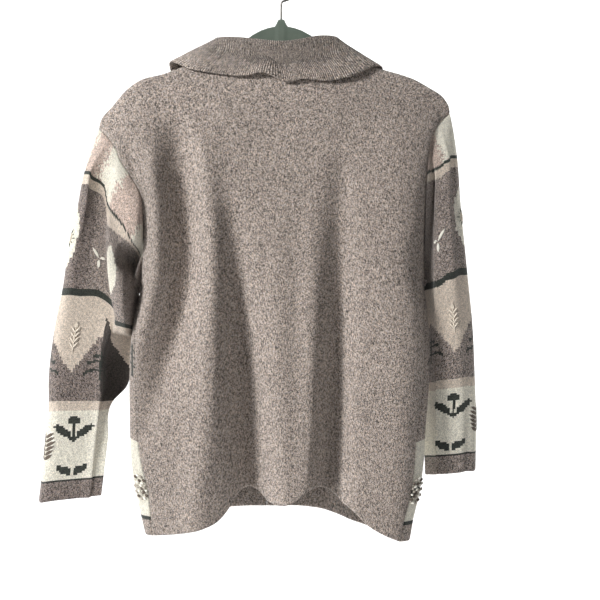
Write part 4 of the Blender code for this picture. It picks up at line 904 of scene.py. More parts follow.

# %% [markdown]
# The flecks.  A marled yarn twists light and dark plies together, so each leg of a stitch and
# each ply in it comes out lighter or darker, and warmer or cooler, than the yarn's own colour.
# The group also lets the cloth fade in clouds, as a much-worn knit does, and paints shade into
# the grooves between the stitches and light on their crowns.

# %% The marl group
LEG_SWING = 0.6         # how far a leg's random number moves the shade
PLY_SWING = 1.9         # and a ply's, which is the stronger
DARKEST = 0.12          # no fleck is darker than this part of the yarn's colour
HUE_SWING = (0.35, 0.0, -0.45)  # red, green and blue of a warm fleck
HUE_SCALE = 330.0
CLOUD_SCALE = 14.0


def make_marl_group():
    number = "NodeSocketFloat"
    group, given, result = new_group(
        "marled_yarn",
        {"Yarn": ("NodeSocketColor", (0.5, 0.5, 0.5, 1.0)), "Marl": (number, 1.0),
         "Leg": (number, 0.5), "Ply": (number, 0.5), "Groove": (number, 1.0),
         "Fade": (number, 0.12)},
        {"Color": "NodeSocketColor"})
    calc = partial(math_node, group)
    place = flat_place(group)
    hue = add_noise(group, place, HUE_SCALE, 2.0, 0.6)
    cloud = add_noise(group, place, CLOUD_SCALE, 3.0, 0.55)
    mixed = calc("ADD", calc("MULTIPLY", given["Leg"], LEG_SWING),
                 calc("MULTIPLY", given["Ply"], PLY_SWING))
    middle = 0.5 * (LEG_SWING + PLY_SWING)
    swing = calc("MULTIPLY", calc("SUBTRACT", mixed, middle), given["Marl"])
    fade = calc("MULTIPLY", calc("SUBTRACT", cloud, 0.5), given["Fade"])
    # painted shade and light: 0.8 of the yarn's colour in the grooves, up to 1.1 on the crowns
    groove_shade = calc("MULTIPLY_ADD", given["Groove"], 0.3, 0.8)
    shown = calc("ADD", calc("ADD", swing, fade), 1.0)
    strength = calc("MULTIPLY", groove_shade, calc("MAXIMUM", shown, DARKEST))
    off_hue = calc("MULTIPLY", calc("SUBTRACT", hue, 0.5), given["Marl"])
    tints = [calc("MULTIPLY", strength, calc("MULTIPLY_ADD", off_hue, amount, 1.0))
             for amount in HUE_SWING]
    shade = group.nodes.new("ShaderNodeVectorMath")
    shade.operation = "MULTIPLY"
    give(group, shade.inputs[0], given["Yarn"])
    give(group, shade.inputs[1], vector_of(group, *tints))
    set_inputs(group, result, Color=shade.outputs[0])
    return group


MARL = make_marl_group()
print("node group", MARL.name)

# %% [markdown]
# The collar is ribbed: raised and sunk wales stand side by side, and the sunk ones look like
# fine dark lines.  A sine across the cloth gives both the relief and the shade.

# %% The rib group
COLLAR_RIB = 0.0033     # one raised and one sunk wale
RIB_HEIGHT = 2.0        # of a rib, beside a stitch's


def make_rib_group():
    number = "NodeSocketFloat"
    group, given, result = new_group(
        "knit_rib", {"Wale": (number, WALE), "Sink": (number, 0.5)},
        {"Rib": number, "Shade": number})
    calc = partial(math_node, group)
    turn = calc("DIVIDE", split(group, flat_place(group))["X"], given["Wale"])
    wave = calc("SINE", calc("MULTIPLY", turn, 2 * math.pi))
    rib = calc("MULTIPLY_ADD", wave, 0.5, 0.5)
    low = calc("SUBTRACT", 1.0, given["Sink"])
    shade = calc("MULTIPLY_ADD", rib, given["Sink"], low)
    set_inputs(group, result, Rib=rib, Shade=shade)
    return group


RIB = make_rib_group()
print("node group", RIB.name)

# %% [markdown]
# The knit materials.  Wool is rough, has hardly any shine and carries a soft sheen of loose
# fibres.  One material serves every colour of yarn, because each face of the mesh stores the
# yarn it is worked in; the taupe, the ribbed and the patterned cloth differ only in values.

# %% Knit materials
def knit_material(name, relief=0.0011, fade=0.12, rib=0.0):
    """Knit in the yarns stored on the mesh: the colour yarn and the strength of its marl."""
    made, tree, shader = new_material(name, Roughness=0.92, Specular_IOR_Level=0.25,
                                      Sheen_Weight=0.18, Sheen_Roughness=0.55)
    stored = {}
    for title in ("yarn", "marl"):
        node = tree.nodes.new("ShaderNodeAttribute")
        node.attribute_name = title
        stored[title] = node.outputs
    stitch = use_group(tree, STITCH).outputs
    height, groove = stitch["Height"], stitch["Groove"]
    if rib:
        ribs = set_inputs(tree, use_group(tree, RIB), Wale=COLLAR_RIB, Sink=rib).outputs
        height = math_node(tree, "MULTIPLY_ADD", ribs["Rib"], RIB_HEIGHT, height)
        groove = ribs["Shade"]
    marl = set_inputs(tree, use_group(tree, MARL), Yarn=stored["yarn"]["Color"],
                      Marl=stored["marl"]["Fac"], Leg=stitch["Leg"], Ply=stitch["Ply"],
                      Groove=groove, Fade=fade)
    add_bump(tree, shader, height, 0.8, relief)
    set_inputs(tree, shader, Base_Color=marl.outputs["Color"])
    return made


PLAIN_KNIT = knit_material("taupe_marl_knit")
RIBBED_KNIT = knit_material("ribbed_marl_knit", rib=2.2)
BANDED_KNIT = knit_material("banded_knit", fade=0.08)
print("knits:", PLAIN_KNIT.name, RIBBED_KNIT.name, BANDED_KNIT.name)

# %% [markdown]
# The yarns.  A colour is written as a dyer's swatch would be read, 0 to 255, and turned into
# the linear values that the shader needs.  Marl says how strongly the flecks show: strong in
# the taupe, half as strong in the near black and faint in the cream.

# %% Yarns
Yarn = namedtuple("Yarn", "color marl")


def swatch(red, green, blue):
    return tuple(((value / 255 + 0.055) / 1.055) ** 2.4 for value in (red, green, blue))


YARNS = {
    "taupe": Yarn(swatch(158, 146, 137), 1.0),
    "sleeve_taupe": Yarn(swatch(122, 111, 105), 1.0),
    # painted light: a paler copy of the sleeve taupe, where light falls on the sleeves
    "painted_light_taupe": Yarn(swatch(140, 129, 122), 1.0),
    # painted shade: a near black copy of the taupe for the shadow deep in the left pleat
    "shadow_taupe": Yarn(swatch(72, 66, 62), 0.5),
    "cream": Yarn(swatch(226, 221, 206), 0.28),
    "beige": Yarn(swatch(206, 192, 177), 0.35),
    "dark": Yarn(swatch(50, 53, 48), 0.5),
    # painted shade: a warmer cream where the pleat and the body shade the shoulder band
    "painted_shade_cream": Yarn(swatch(192, 173, 161), 0.6),
    "collar": Yarn(swatch(152, 141, 132), 0.8),
    # painted shade along the collar's soft fold, and painted light on its paler lower part
    "collar_painted_fold_shade": Yarn(swatch(134, 124, 117), 0.7),
    "collar_painted_light": Yarn(swatch(171, 158, 148), 0.9),
}
YARN_NAMES = list(YARNS)


def yarn_code(name):
    return YARN_NAMES.index(name)


# %% [markdown]
# The pattern is charted as a knitter charts it: each mark is one stitch.  Every motif is the
# same on both sides of its middle, so a chart lists only the right half, the middle first.
# The motifs are ordinary ones: a bud with two leaves, a pair of leaves and a fir tree.

# %% Charts
STITCH_WIDTH = WALE / MM
STITCH_HEIGHT = COURSE / MM
MOTIF_PITCH = 84.0      # from one repeat of a chart to the next
BUD = [
    "11.......", "111......", "111......", "111......", "11.......", "1......1.",
    "1....1111", "1...1111.", "1..11111.", "1.11111..", "1.1111...", "1.111....",
    "111......", "11.......", "1........",
]
LEAF_PAIR = [".....11", "...1111", "..11111", ".111111", ".11111.", ".1111..", ".11...."]
FIR = [
    "1.......", "1.......", "111.....", "1.11....", "1.......", "1.......", "1111....",
    "1..111..", "1....1..", "1.......", "1.......", "11111...", "1...111.", "1.....11",
    "1......1", "1.......", "1.......",
]


def chart_mask(chart, across, down):
    """Which stitches a half chart marks: across and down are counted from its top middle."""
    marks = np.array([[mark == "1" for mark in row] for row in chart])
    column_number = np.floor(np.abs(across) + 0.5).astype(int)
    row_number = np.floor(down).astype(int)
    inside = (column_number < marks.shape[1]) & (row_number >= 0) & (row_number < len(chart))
    safe_column = np.clip(column_number, 0, marks.shape[1] - 1)
    safe_row = np.clip(row_number, 0, len(chart) - 1)
    return inside & marks[safe_row, safe_column]


def nearest_repeat(across, first, pitch):
    """Distance to the nearest of a row of motifs, of which one is at first."""
    return (across - first + pitch / 2) % pitch - pitch / 2


def chart_marks(chart, across, first, down):
    """Which stitches a row of repeats of a chart marks, down from the chart's top."""
    from_middle = nearest_repeat(across, first, MOTIF_PITCH) / STITCH_WIDTH
    return chart_mask(chart, from_middle, down / STITCH_HEIGHT)


# %% [markdown]
# One chart serves both sleeves, front and back, since a real sleeve is knitted flat and is the
# same on both sides of its middle line.  Only the shades of a few yarns differ, and they are
# painted light and shade: a paler taupe where the light falls on the left pleat and on the whole
# right sleeve, a near black taupe for the shadow deep in the left pleat, and a warmer cream where
# the pleat and the body shade the shoulder band.  Down is counted from the armhole and across
# from the sleeve's top fold, both in millimetres.

# %% Sleeve pattern
SLEEVE_LENGTH = 523.0
FIRST_COLUMN = 8.0      # the first fir and point, from the top fold towards the back
Zone = namedtuple("Zone", "start yarn")
SLEEVE_ZONES = [
    Zone(0, "cream"), Zone(61, "dark"), Zone(67, "beige"), Zone(80, "sleeve_taupe"),
    Zone(228, "dark"), Zone(238, "beige"), Zone(385, "beige"), Zone(398, "cream"),
    Zone(494, "dark"), Zone(498, "sleeve_taupe"),
]
PAINTED_SHADE_END = SLEEVE_ZONES[1].start       # the painted shade on the cream ends at the first dark stripe,
LIT_PLEAT_END = SLEEVE_ZONES[4].start        # the painted light on the taupe at the second one,
POINTS_END = SLEEVE_ZONES[6].start      # and the taupe points at the last beige
TRIANGLE_TOP = 284.0    # where the taupe points start
TRIANGLE_TIP = 346.0    # and where the beige ones end
MEDALLION = dict(across=13.0, down=153.0, half_length=45.0, half_width=18.0, pitch=102.0)
MEDALLION_FULL = 1.35   # above 1, the medallion is broad before it closes to its points
FIR_TOP = 312.0
BUD_TOP = 404.0
LEAVES_TOP = 472.0
# painted shade: a warmer, duller cream between these places, where pleat and body shade it
PAINTED_SHADE_SPANS = {-1: ((12.0, 46.0), (90.0, 160.0)), 1: ((44.0, 160.0),)}
PAINTED_SHADE_FRAY = 14.0
SEEN = {-1: 150.0, 1: 75.0}     # medallions are only worked this far round from the fold
LIT_PLEAT_FROM = 52.0        # painted light: past the crease the left pleat faces the light and its taupe is paler
# painted shade: the near black taupe below stands for the shadow deep in the left pleat
# past this place, deep in the left pleat, the last point is darker and starts this far down
DARK_FROM = 90.0
DARK_TOP = 262.0
DARK_SLOPE = 1.05       # how far its edge drops to each millimetre across


def soft_edge(values, edge, reach):
    """True past an edge that frays over a few stitches instead of running straight."""
    rows, columns = np.indices(values.shape)
    # the usual scramble of a cell's place into a number from 0 to 1
    fray = np.mod(np.sin(rows * 12.9898 + columns * 78.233) * 43758.5453, 1.0) - 0.5
    return values + reach * fray > edge


def sleeve_pattern(across, down, side):
    """Yarn numbers for stitches at a distance from the top fold and down from the armhole."""
    across = (np.floor(across / STITCH_WIDTH) + 0.5) * STITCH_WIDTH
    code = np.zeros(across.shape, int)
    for zone in SLEEVE_ZONES:
        code[down >= zone.start] = yarn_code(zone.yarn)
    taupe, cream, dark = yarn_code("sleeve_taupe"), yarn_code("cream"), yarn_code("dark")
    # painted shade on the shoulder band, beside the pleat and the body
    for first, last in PAINTED_SHADE_SPANS[side]:
        shaded = soft_edge(across, first, PAINTED_SHADE_FRAY) & ~soft_edge(across, last, PAINTED_SHADE_FRAY)
        code[shaded & (down < PAINTED_SHADE_END)] = yarn_code("painted_shade_cream")
    from_column = np.abs(nearest_repeat(across, FIRST_COLUMN, MOTIF_PITCH))
    edge = TRIANGLE_TOP + (TRIANGLE_TIP - TRIANGLE_TOP) * from_column / (MOTIF_PITCH / 2)
    past = (side < 0) & (across > DARK_FROM)
    edge = np.where(past, DARK_TOP + DARK_SLOPE * (across - DARK_FROM), edge)
    below = (down > edge) & (down < POINTS_END)
    code[below] = taupe
    # painted shade deep in the left pleat
    code[below & past] = yarn_code("shadow_taupe")
    reach = np.abs(down - MEDALLION["down"]) / MEDALLION["half_length"]
    width = MEDALLION["half_width"] * np.clip(MEDALLION_FULL * (1 - reach), 0, 1) ** 0.6
    from_medallion = np.abs(nearest_repeat(across, MEDALLION["across"], MEDALLION["pitch"]))
    code[(reach < 1) & (from_medallion < width) & (np.abs(across) < SEEN[side])] = cream
    half_way = FIRST_COLUMN + MOTIF_PITCH / 2
    for chart, first, top in ((FIR, FIRST_COLUMN, FIR_TOP), (BUD, half_way, BUD_TOP),
                              (LEAF_PAIR, half_way, LEAVES_TOP)):
        code[chart_marks(chart, across, first, down - top)] = dark
    # painted light: the whole right sleeve takes the paler copy of the sleeve taupe
    if side > 0:
        code[code == taupe] = yarn_code("painted_light_taupe")
    return code


# %% [markdown]
# Beside the body the sleeve's cloth is bunched, and there its rows of stitches would crowd
# together.  The real stripes run straight on into the folds, so near the body a stripe is
# found by its height instead: a table gives where each one crosses.

# %% Stripes beside the body
# heights at which the first dark stripe, the end of its beige and the second stripe cross
Crossing = namedtuple("Crossing", "x stripe beige_end next_stripe")
CROSSINGS = {
    -1: [Crossing(-240, -316, -343, -472), Crossing(-237, -319.5, -345.5, -472),
         Crossing(-224, -335, -357, -480), Crossing(-214, -348, -364, -487),
         Crossing(-203, -368, -376, -484), Crossing(-191, -391, -396, -480)],
    1: [Crossing(190, -279, -290, -432), Crossing(215, -267, -281.5, -425.5),
        Crossing(247, -252, -270.5, -417)],
}
CROSSING_DOWN = (0.0, 61.0, 67.0, 80.0, 233.0, 293.0)   # the chart's rows at the crossings
LAST_CROSSING = {-1: 4, 1: 5}   # how many steps between them a sleeve uses
STRIPE_THICK = (3.0, 5.0)       # least and most thickness of the dark stripe
ABOVE_STRIPE = 150.0            # from the stripe up to the first row
BELOW_STRIPE = 60.0             # and from the next stripe down to the last
NEAR_BODY = {-1: (-244.0, -238.0), 1: (230.0, 216.0)}   # the rule takes over between these
FROM_HEIGHT = {-1: (200.0, 228.0), 1: (245.0, 300.0)}   # past these rows the cloth runs true


def down_by_height(side, x, z, down):
    """Rows from the armhole for cloth beside the body, from where it is."""
    stripe, beige_end, next_stripe = [look_up(CROSSINGS[side], "x", name, x)
                                      for name in Crossing._fields[1:]]
    thick = np.clip(0.35 * (stripe - beige_end), *STRIPE_THICK)
    levels = [stripe + ABOVE_STRIPE, stripe + thick / 2, stripe - thick / 2, beige_end,
              next_stripe, next_stripe - BELOW_STRIPE]
    result = np.zeros(np.shape(z))
    for k in range(LAST_CROSSING[side]):
        part = np.clip((levels[k] - z) / (levels[k] - levels[k + 1]), 0.0, 1.0)
        result = result + part * (CROSSING_DOWN[k + 1] - CROSSING_DOWN[k])
    near = ease(*NEAR_BODY[side], x) * (1 - ease(*FROM_HEIGHT[side], down))
    return down + near * (result - down)


# %% [markdown]
# The fronts carry the same pattern in one band above the hem.  From behind only the strips
# that wrap round the side seams show it.

# %% Front pattern
FRONT_ZONES = [Zone(0.0, "taupe"), Zone(0.77, "cream"), Zone(0.952, "dark"), Zone(0.961, "taupe")]
FRONT_LENGTH = 575.0            # shoulder to hem
FRONT_CHARTS = ((FIR, 0.545, 0.0), (BUD, 0.845, MOTIF_PITCH / 2))   # top row and place across
FRONT_FIRST = {-1: 8.0, 1: 34.0}    # the first fir from the side seam


def front_pattern(across, down, first):
    """Yarn numbers for a front: across from its side seam, down as a fraction to the hem."""
    code = np.zeros(across.shape, int)
    for zone in FRONT_ZONES:
        code[down >= zone.start] = yarn_code(zone.yarn)
    for chart, top, shift in FRONT_CHARTS:
        marked = chart_marks(chart, across, first + shift, (down - top) * FRONT_LENGTH)
        code[marked] = yarn_code("dark")
    return code


# %% [markdown]
# A panel's mesh: the outer face, the inner face one wall behind it, and the edges.  The last
# row at every edge is pinched a little, which rounds a free edge and leaves a fine groove
# where two pieces are sewn together.

# %% Mesh of a cloth piece
PINCH = 0.6             # how far each face draws in at an edge


def pinch_edges(outer, inner, out, wraps):
    edges = [(0, slice(None)), (-1, slice(None))]
    if not wraps:
        edges += [(slice(None), 0), (slice(None), -1)]
    for edge in edges:
        outer[edge] = outer[edge] - PINCH * out[edge]
        inner[edge] = inner[edge] + PINCH * out[edge]


def store(mesh, title, kind, domain, slot_name, values):
    layer = mesh.attributes.new(title, kind, domain)
    layer.data.foreach_set(slot_name, np.ascontiguousarray(values, np.float32).ravel())


def rim_lines(rows, columns, wraps, flat, codes):
    """The grid's edges: two rows of points, their flat places and the yarns along them."""
    k = np.arange(columns if wraps else columns - 1)
    last = (rows - 1) * columns
    lines = [(k, (k + 1) % columns, flat[0, k], flat[0, k + 1], codes[0]),
             (last + (k + 1) % columns, last + k, flat[-1, k + 1], flat[-1, k], codes[-1])]
    if not wraps:
        k = np.arange(rows - 1)
        lines += [((k + 1) * columns, k * columns, flat[k + 1, 0], flat[k, 0], codes[:, 0]),
                  ((k + 1) * columns - 1, (k + 2) * columns - 1, flat[k, -1], flat[k + 1, -1],
                   codes[:, -1])]
    return lines


def cloth_mesh(name, outer, out, wraps, flat, codes, surface, inside_codes=None):
    """flat holds the corners' places in the cloth laid flat, in metres: (rows, columns, 2).

    Where the piece wraps, flat has one more column than the grid, for the last cells.
    """
    outer = outer.copy()
    inner = outer - WALL * out
    pinch_edges(outer, inner, out, wraps)
    rows, columns = outer.shape[:2]
    i, j = np.meshgrid(np.arange(rows - 1), np.arange(columns if wraps else columns - 1),
                       indexing="ij")
    i, j = i.ravel(), j.ravel()
    steps = [(0, 0), (1, 0), (1, 1), (0, 1)]
    corners = np.stack([(i + a) * columns + (j + b) % columns for a, b in steps], axis=1)
    places = np.stack([flat[i + a, j + b] for a, b in steps], axis=1)
    points = outer.reshape(-1, 3)
    first = points[corners]
    normals = np.cross(first[:, 2] - first[:, 0], first[:, 3] - first[:, 1])
    facing = np.sum(normals * out.reshape(-1, 3)[corners[:, 0]], axis=1)
    turn = -1 if np.median(facing) < 0 else 1
    corners, places = corners[:, ::turn], places[:, ::turn]
    inside = rows * columns
    lines = rim_lines(rows, columns, wraps, flat, codes)
    rim_corners = [np.stack([a, b, b + inside, a + inside], axis=1)[:, ::turn]
                   for a, b, *_ in lines]
    rim_places = [np.stack([p, q, q, p], axis=1)[:, ::turn] for _, _, p, q, _ in lines]
    faces = np.concatenate([corners, corners[:, ::-1] + inside] + rim_corners)
    places = np.concatenate([places, places[:, ::-1]] + rim_places)
    behind = codes if inside_codes is None else inside_codes
    codes = np.concatenate([codes.ravel(), behind.ravel()] + [line[-1].ravel() for line in lines])
    everything = np.concatenate([points, inner.reshape(-1, 3)]) * MM
    made = add_mesh(name, everything.tolist(), faces.tolist(), surface)
    layer = made.data.uv_layers.new(name=CLOTH_MAP)
    layer.data.foreach_set("uv", places.astype(np.float32).ravel())
    colors = np.array([(*YARNS[title].color, 1.0) for title in YARN_NAMES])
    marls = np.array([YARNS[title].marl for title in YARN_NAMES])
    store(made.data, "yarn", "FLOAT_COLOR", "FACE", "color", colors[codes])
    store(made.data, "marl", "FLOAT", "FACE", "value", marls[codes])
    print(name, len(faces), "faces")
    return made

# %% [markdown]
# Laying out the stitches.  The rows of the body run from the shoulder to the hem, closer
# together over the ridge where the cloth turns; the columns run between the seams.

# %% Rows and columns
RIDGE_ROWS = (0.0, 0.0015, 0.004, 0.0075, 0.0115, 0.016, 0.0205)
ARMHOLE_ROWS = 91
BODY_ROWS = 137
ROWS = np.concatenate([
    RIDGE_ROWS,
    np.linspace(RIDGE_ROWS[-1], UNDERARM, ARMHOLE_ROWS + 1)[1:],
    np.linspace(UNDERARM, 1.0, BODY_ROWS + 1)[1:],
])
UNDERARM_ROW = len(RIDGE_ROWS) + ARMHOLE_ROWS - 1
SHOULDER_COLUMNS = 52
BACK_NECK_COLUMNS = 48
FRONT_NECK_COLUMNS = 22
SLEEVE_RINGS = 200
SLEEVE_POINTS = 100     # from the top fold to the underarm, on each side
FOLD_POINTS = 42        # of these, as far as the crease
CREASE_FRACTION = 0.085 / UNDERARM      # where the crease meets the armhole
COLLAR_ROWS = 40
NECK_CORNERS = (0.25, 0.75)     # the shoulders' places on the way round the neck
BAND_COLUMNS = 8


def plain_codes(grid, name="taupe"):
    return np.full((grid.shape[0] - 1, grid.shape[1] - 1), yarn_code(name))


FOLD_SHADE_TOP = 0.72      # top of the painted shade along the collar's soft fold, as a fraction of the way to the rim
PAINTED_LIGHT_FROM = 0.79       # below this the collar is paler: painted light on its lower part, which faces up
FOLD_MIDDLE = 0.53      # the painted fold shade's middle and half its length, as fractions along the collar
FOLD_HALF = 0.14
FOLD_SAG = 0.05         # how far the painted shade's ends hang below its middle


def collar_codes(grid):
    """The collar's yarn: painted shade on its soft fold behind the neck, painted light by its rim.
    """
    codes = plain_codes(grid, "collar")
    rows, columns = np.indices(codes.shape)
    down = rows / codes.shape[0]
    from_middle = np.abs(columns / codes.shape[1] - FOLD_MIDDLE) / FOLD_HALF
    fold_top = FOLD_SHADE_TOP + FOLD_SAG * np.clip(from_middle, 0, 1)
    fold_shade = soft_edge(down, fold_top, 0.04) & (from_middle < 1)
    codes[fold_shade] = yarn_code("collar_painted_fold_shade")
    codes[soft_edge(down, PAINTED_LIGHT_FROM, 0.05)] = yarn_code("collar_painted_light")
    return codes


def flat_stitches(grid):
    """Flat places of a grid with one cell to a stitch."""
    down, across = np.meshgrid(np.arange(grid.shape[0]) * COURSE,
                               np.arange(grid.shape[1]) * WALE, indexing="ij")
    return np.stack([across, down], axis=-1)


# %% Grids of the back and the fronts
def panel_grids():
    shoulder = np.linspace(0, 1, SHOULDER_COLUMNS + 1)
    back_u = np.concatenate([
        NECK_LEFT * shoulder[:-1],
        np.linspace(NECK_LEFT, NECK_RIGHT, BACK_NECK_COLUMNS + 1),
        1 - (1 - NECK_RIGHT) * shoulder[::-1][1:],
    ])
    front_u = np.concatenate([FRONT_NECK * shoulder[:-1],
                              np.linspace(FRONT_NECK, 1, FRONT_NECK_COLUMNS + 1)])
    v = ROWS[:, None]
    grids = {0: back_point(back_u[None, :], v)}
    outs = {0: grid_offsets(grids[0], False, lambda middles: np.array([0.0, -1.0, 0.0]))}
    for side in (-1, 1):
        grids[side] = front_point(side, front_u[None, :], v)
        outs[side] = grid_offsets(grids[side], False, lambda middles: np.array([0.0, 1.0, 0.0]))
    for side in (-1, 1):
        for j in range(SHOULDER_COLUMNS + 1):
            k = j if side < 0 else -1 - j
            shared = unit(outs[0][0, k]) + unit(outs[side][0, j])
            shared = unit(shared * np.array([1.0, 0.0, 1.0]))
            outs[0][0, k] = shared
            outs[side][0, j] = shared
        k = 0 if side < 0 else -1
        for i in range(UNDERARM_ROW + 1, len(ROWS)):
            join([(outs[0], (i, k)), (outs[side], (i, 0))])
    return grids, outs


grids, outs = panel_grids()
print("back", grids[0].shape[:2], "fronts", grids[1].shape[:2])


# %% [markdown]
# A sleeve is a tube, so its grid closes on itself: one ring of points to a course.  It is sewn
# to the armhole, where the first ring takes its outward vectors from the edges of the back
# and the front.

# %% Grids of the sleeves
def sleeve_grid(side):
    """One ring of stitches to a course; each half ring shares the armhole with a panel."""
    fractions = np.concatenate([
        np.linspace(0, CREASE_FRACTION, FOLD_POINTS + 1),
        np.linspace(CREASE_FRACTION, 1, SLEEVE_POINTS - FOLD_POINTS + 1)[1:],
    ])
    rings = []
    for s in np.linspace(0, 1, SLEEVE_RINGS):
        back, front = sleeve_halves(side, s, fractions, FOLD_POINTS)
        rings.append(np.concatenate([back, front[::-1][1:-1]]))
    grid = np.array(rings)
    centres = grid.mean(axis=1, keepdims=True)
    inside = 0.5 * (centres[1:] + centres[:-1])
    out = grid_offsets(grid, True, lambda middles: middles - inside)
    return grid, out, fractions


THIN = 0.3              # the smallest outward vector that still leaves a wall


def sew_sleeve(side, grid, out, fractions):
    """The sleeve's first ring takes the outward vectors of the panels' armholes."""
    rows = ROWS[:UNDERARM_ROW + 1] / UNDERARM
    total = grid.shape[1]
    halves = [(outs[0], 0 if side < 0 else -1, np.arange(len(fractions))),
              (outs[side], 0, (total - np.arange(len(fractions))) % total)]
    for panel, k, ring in halves:
        for i, row in enumerate(rows):
            nearest = ring[int(np.argmin(np.abs(fractions - row)))]
            panel[i, k] = meet(panel[i, k], out[0, nearest])
        # where the two walls face each other nothing is left of it: take the neighbours' mean
        sizes = np.linalg.norm(panel[:len(rows), k], axis=1)
        for i in np.flatnonzero(sizes[1:-1] < THIN) + 1:
            panel[i, k] = 0.5 * (panel[i - 1, k] + panel[i + 1, k])
        for axis in range(3):
            out[0, ring, axis] = np.interp(fractions, rows, panel[:len(rows), k, axis])
    return draw_in(grid[0], grid[1], 0.5 * SEAM)


def sleeve_places(grid):
    """How far each cell of a sleeve is from the top fold, on its own half, in millimetres."""
    around = running_length(np.concatenate([grid, grid[:, :1]], axis=1))
    total = around[:, -1:]
    left = around[:, :-1]
    right = around[:, 1:]
    on_front = np.arange(grid.shape[1]) >= SLEEVE_POINTS
    return np.where(on_front, left - total, left), np.where(on_front, right - total, right)


sleeves = {}
for side in (-1, 1):
    grid, out, fractions = sleeve_grid(side)
    grid[0] = sew_sleeve(side, grid, out, fractions)
    sleeves[side] = (grid, out)
print("sleeves", sleeves[1][0].shape[:2])


# %% [markdown]
# The collar is knitted on to the neck's edge, with two of its columns to each of the panels'
# for a finer rib; the bands are plain strips down the two front edges.

# %% Grid of the collar
def collar_grid():
    """The collar stands on the neck edge, two of its columns to each of the panels'."""
    left = slice(None, SHOULDER_COLUMNS - 1, -1)
    neck = slice(SHOULDER_COLUMNS, SHOULDER_COLUMNS + BACK_NECK_COLUMNS + 1)
    right = slice(SHOULDER_COLUMNS, None)
    edge, out = [np.concatenate([rows[-1][0, left], rows[0][0, neck][1:], rows[1][0, right][1:]])
                 for rows in (grids, outs)]
    centre = np.array([CENTRE_X, 0.0, 0.0])
    away = unit((edge - centre) * np.array([1.0, 1.0, 0.0]))
    out = unit(unit(out) + away)
    first, second = FRONT_NECK_COLUMNS + 1, FRONT_NECK_COLUMNS + BACK_NECK_COLUMNS + 1
    outs[-1][0, left] = out[:first]
    outs[0][0, neck] = out[first - 1:second]
    outs[1][0, right] = out[second - 1:]
    t = np.concatenate([
        np.linspace(0, NECK_CORNERS[0], FRONT_NECK_COLUMNS + 1),
        np.linspace(*NECK_CORNERS, BACK_NECK_COLUMNS + 1)[1:],
        np.linspace(NECK_CORNERS[1], 1.0, FRONT_NECK_COLUMNS + 1)[1:],
    ])
    seam, out, t = [add_halfway(rows) for rows in (edge - WALL * out, out, t)]
    grid = np.array([collar_point(seam, t, w) for w in np.linspace(0, 1, COLLAR_ROWS)])
    fall = np.zeros((COLLAR_ROWS - 1, 1, 1))
    fall[COLLAR_ROWS // 2:] = 1.0
    collar_out = grid_offsets(
        grid, False, lambda middles: fall * (middles - centre) * np.array([1.0, 1.0, 0.0]))
    collar_out[0] = -out
    grid[0] = draw_in(grid[0], grid[1], SEAM)
    return grid, collar_out


def add_halfway(rows):
    """The same rows with one more halfway between each two."""
    doubled = np.repeat(rows, 2, axis=0)[:-1].astype(float)
    doubled[1::2] = 0.5 * (rows[:-1] + rows[1:])
    return doubled


collar, collar_out = collar_grid()
print("collar", collar.shape[:2])


# %% Grids of the front bands
def band_grid(side):
    near = centre_line(side, ROWS)
    share = np.linspace(0, 1, BAND_COLUMNS + 1)[None, :, None]
    far = near.copy()
    far[:, 0] = CENTRE_X - side * BAND_WIDTH / 2
    near[:, 0] -= side * SEAM / 2
    grid = near[:, None] * (1 - share) + far[:, None] * share
    out = grid_offsets(grid, False, lambda middles: np.array([0.0, 1.0, 0.0]))
    outs[side][:, -1] = out[:, 0]
    return grid, out


bands = {side: band_grid(side) for side in (-1, 1)}


def trim_edges():
    """Leave half a seam's gap on each sewn edge of the back and the fronts."""
    for grid in grids.values():
        top = 0.5 * SEAM * unit(grid[1] - grid[0])
        first = 0.5 * SEAM * unit(grid[:, 1] - grid[:, 0])
        last = 0.5 * SEAM * unit(grid[:, -2] - grid[:, -1])
        grid[0] += top
        grid[:, 0] += first
        grid[:, -1] += last


trim_edges()

# %% [markdown]
# The cloth pieces.  Each grid becomes a mesh, with the yarn of every cell stored on its face.
# The eight pieces are the ones that a knitter works apart and sews up.  Each hangs on the
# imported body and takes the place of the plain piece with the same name.

# %% The cloth pieces
def hang(piece, node):
    """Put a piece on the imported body, in place of a plain node."""
    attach(piece, "root")
    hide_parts(node)
    return piece


def make_back():
    grid = grids[0]
    return cloth_mesh("knitted_back", grid, outs[0], False, flat_stitches(grid),
                      plain_codes(grid), PLAIN_KNIT)


def make_front(side, name):
    grid = grids[side]
    across = running_length(grid)
    middle = 0.5 * (across[:-1, :-1] + across[1:, 1:])
    down = np.broadcast_to(0.5 * (ROWS[:-1] + ROWS[1:])[:, None], middle.shape)
    codes = front_pattern(middle, down, FRONT_FIRST[side])
    return cloth_mesh(name, grid, outs[side], False, flat_stitches(grid), codes, BANDED_KNIT,
                      plain_codes(grid))


PLEAT = (-150.0, 45.0)  # outside these places from the top fold the cloth is bunched


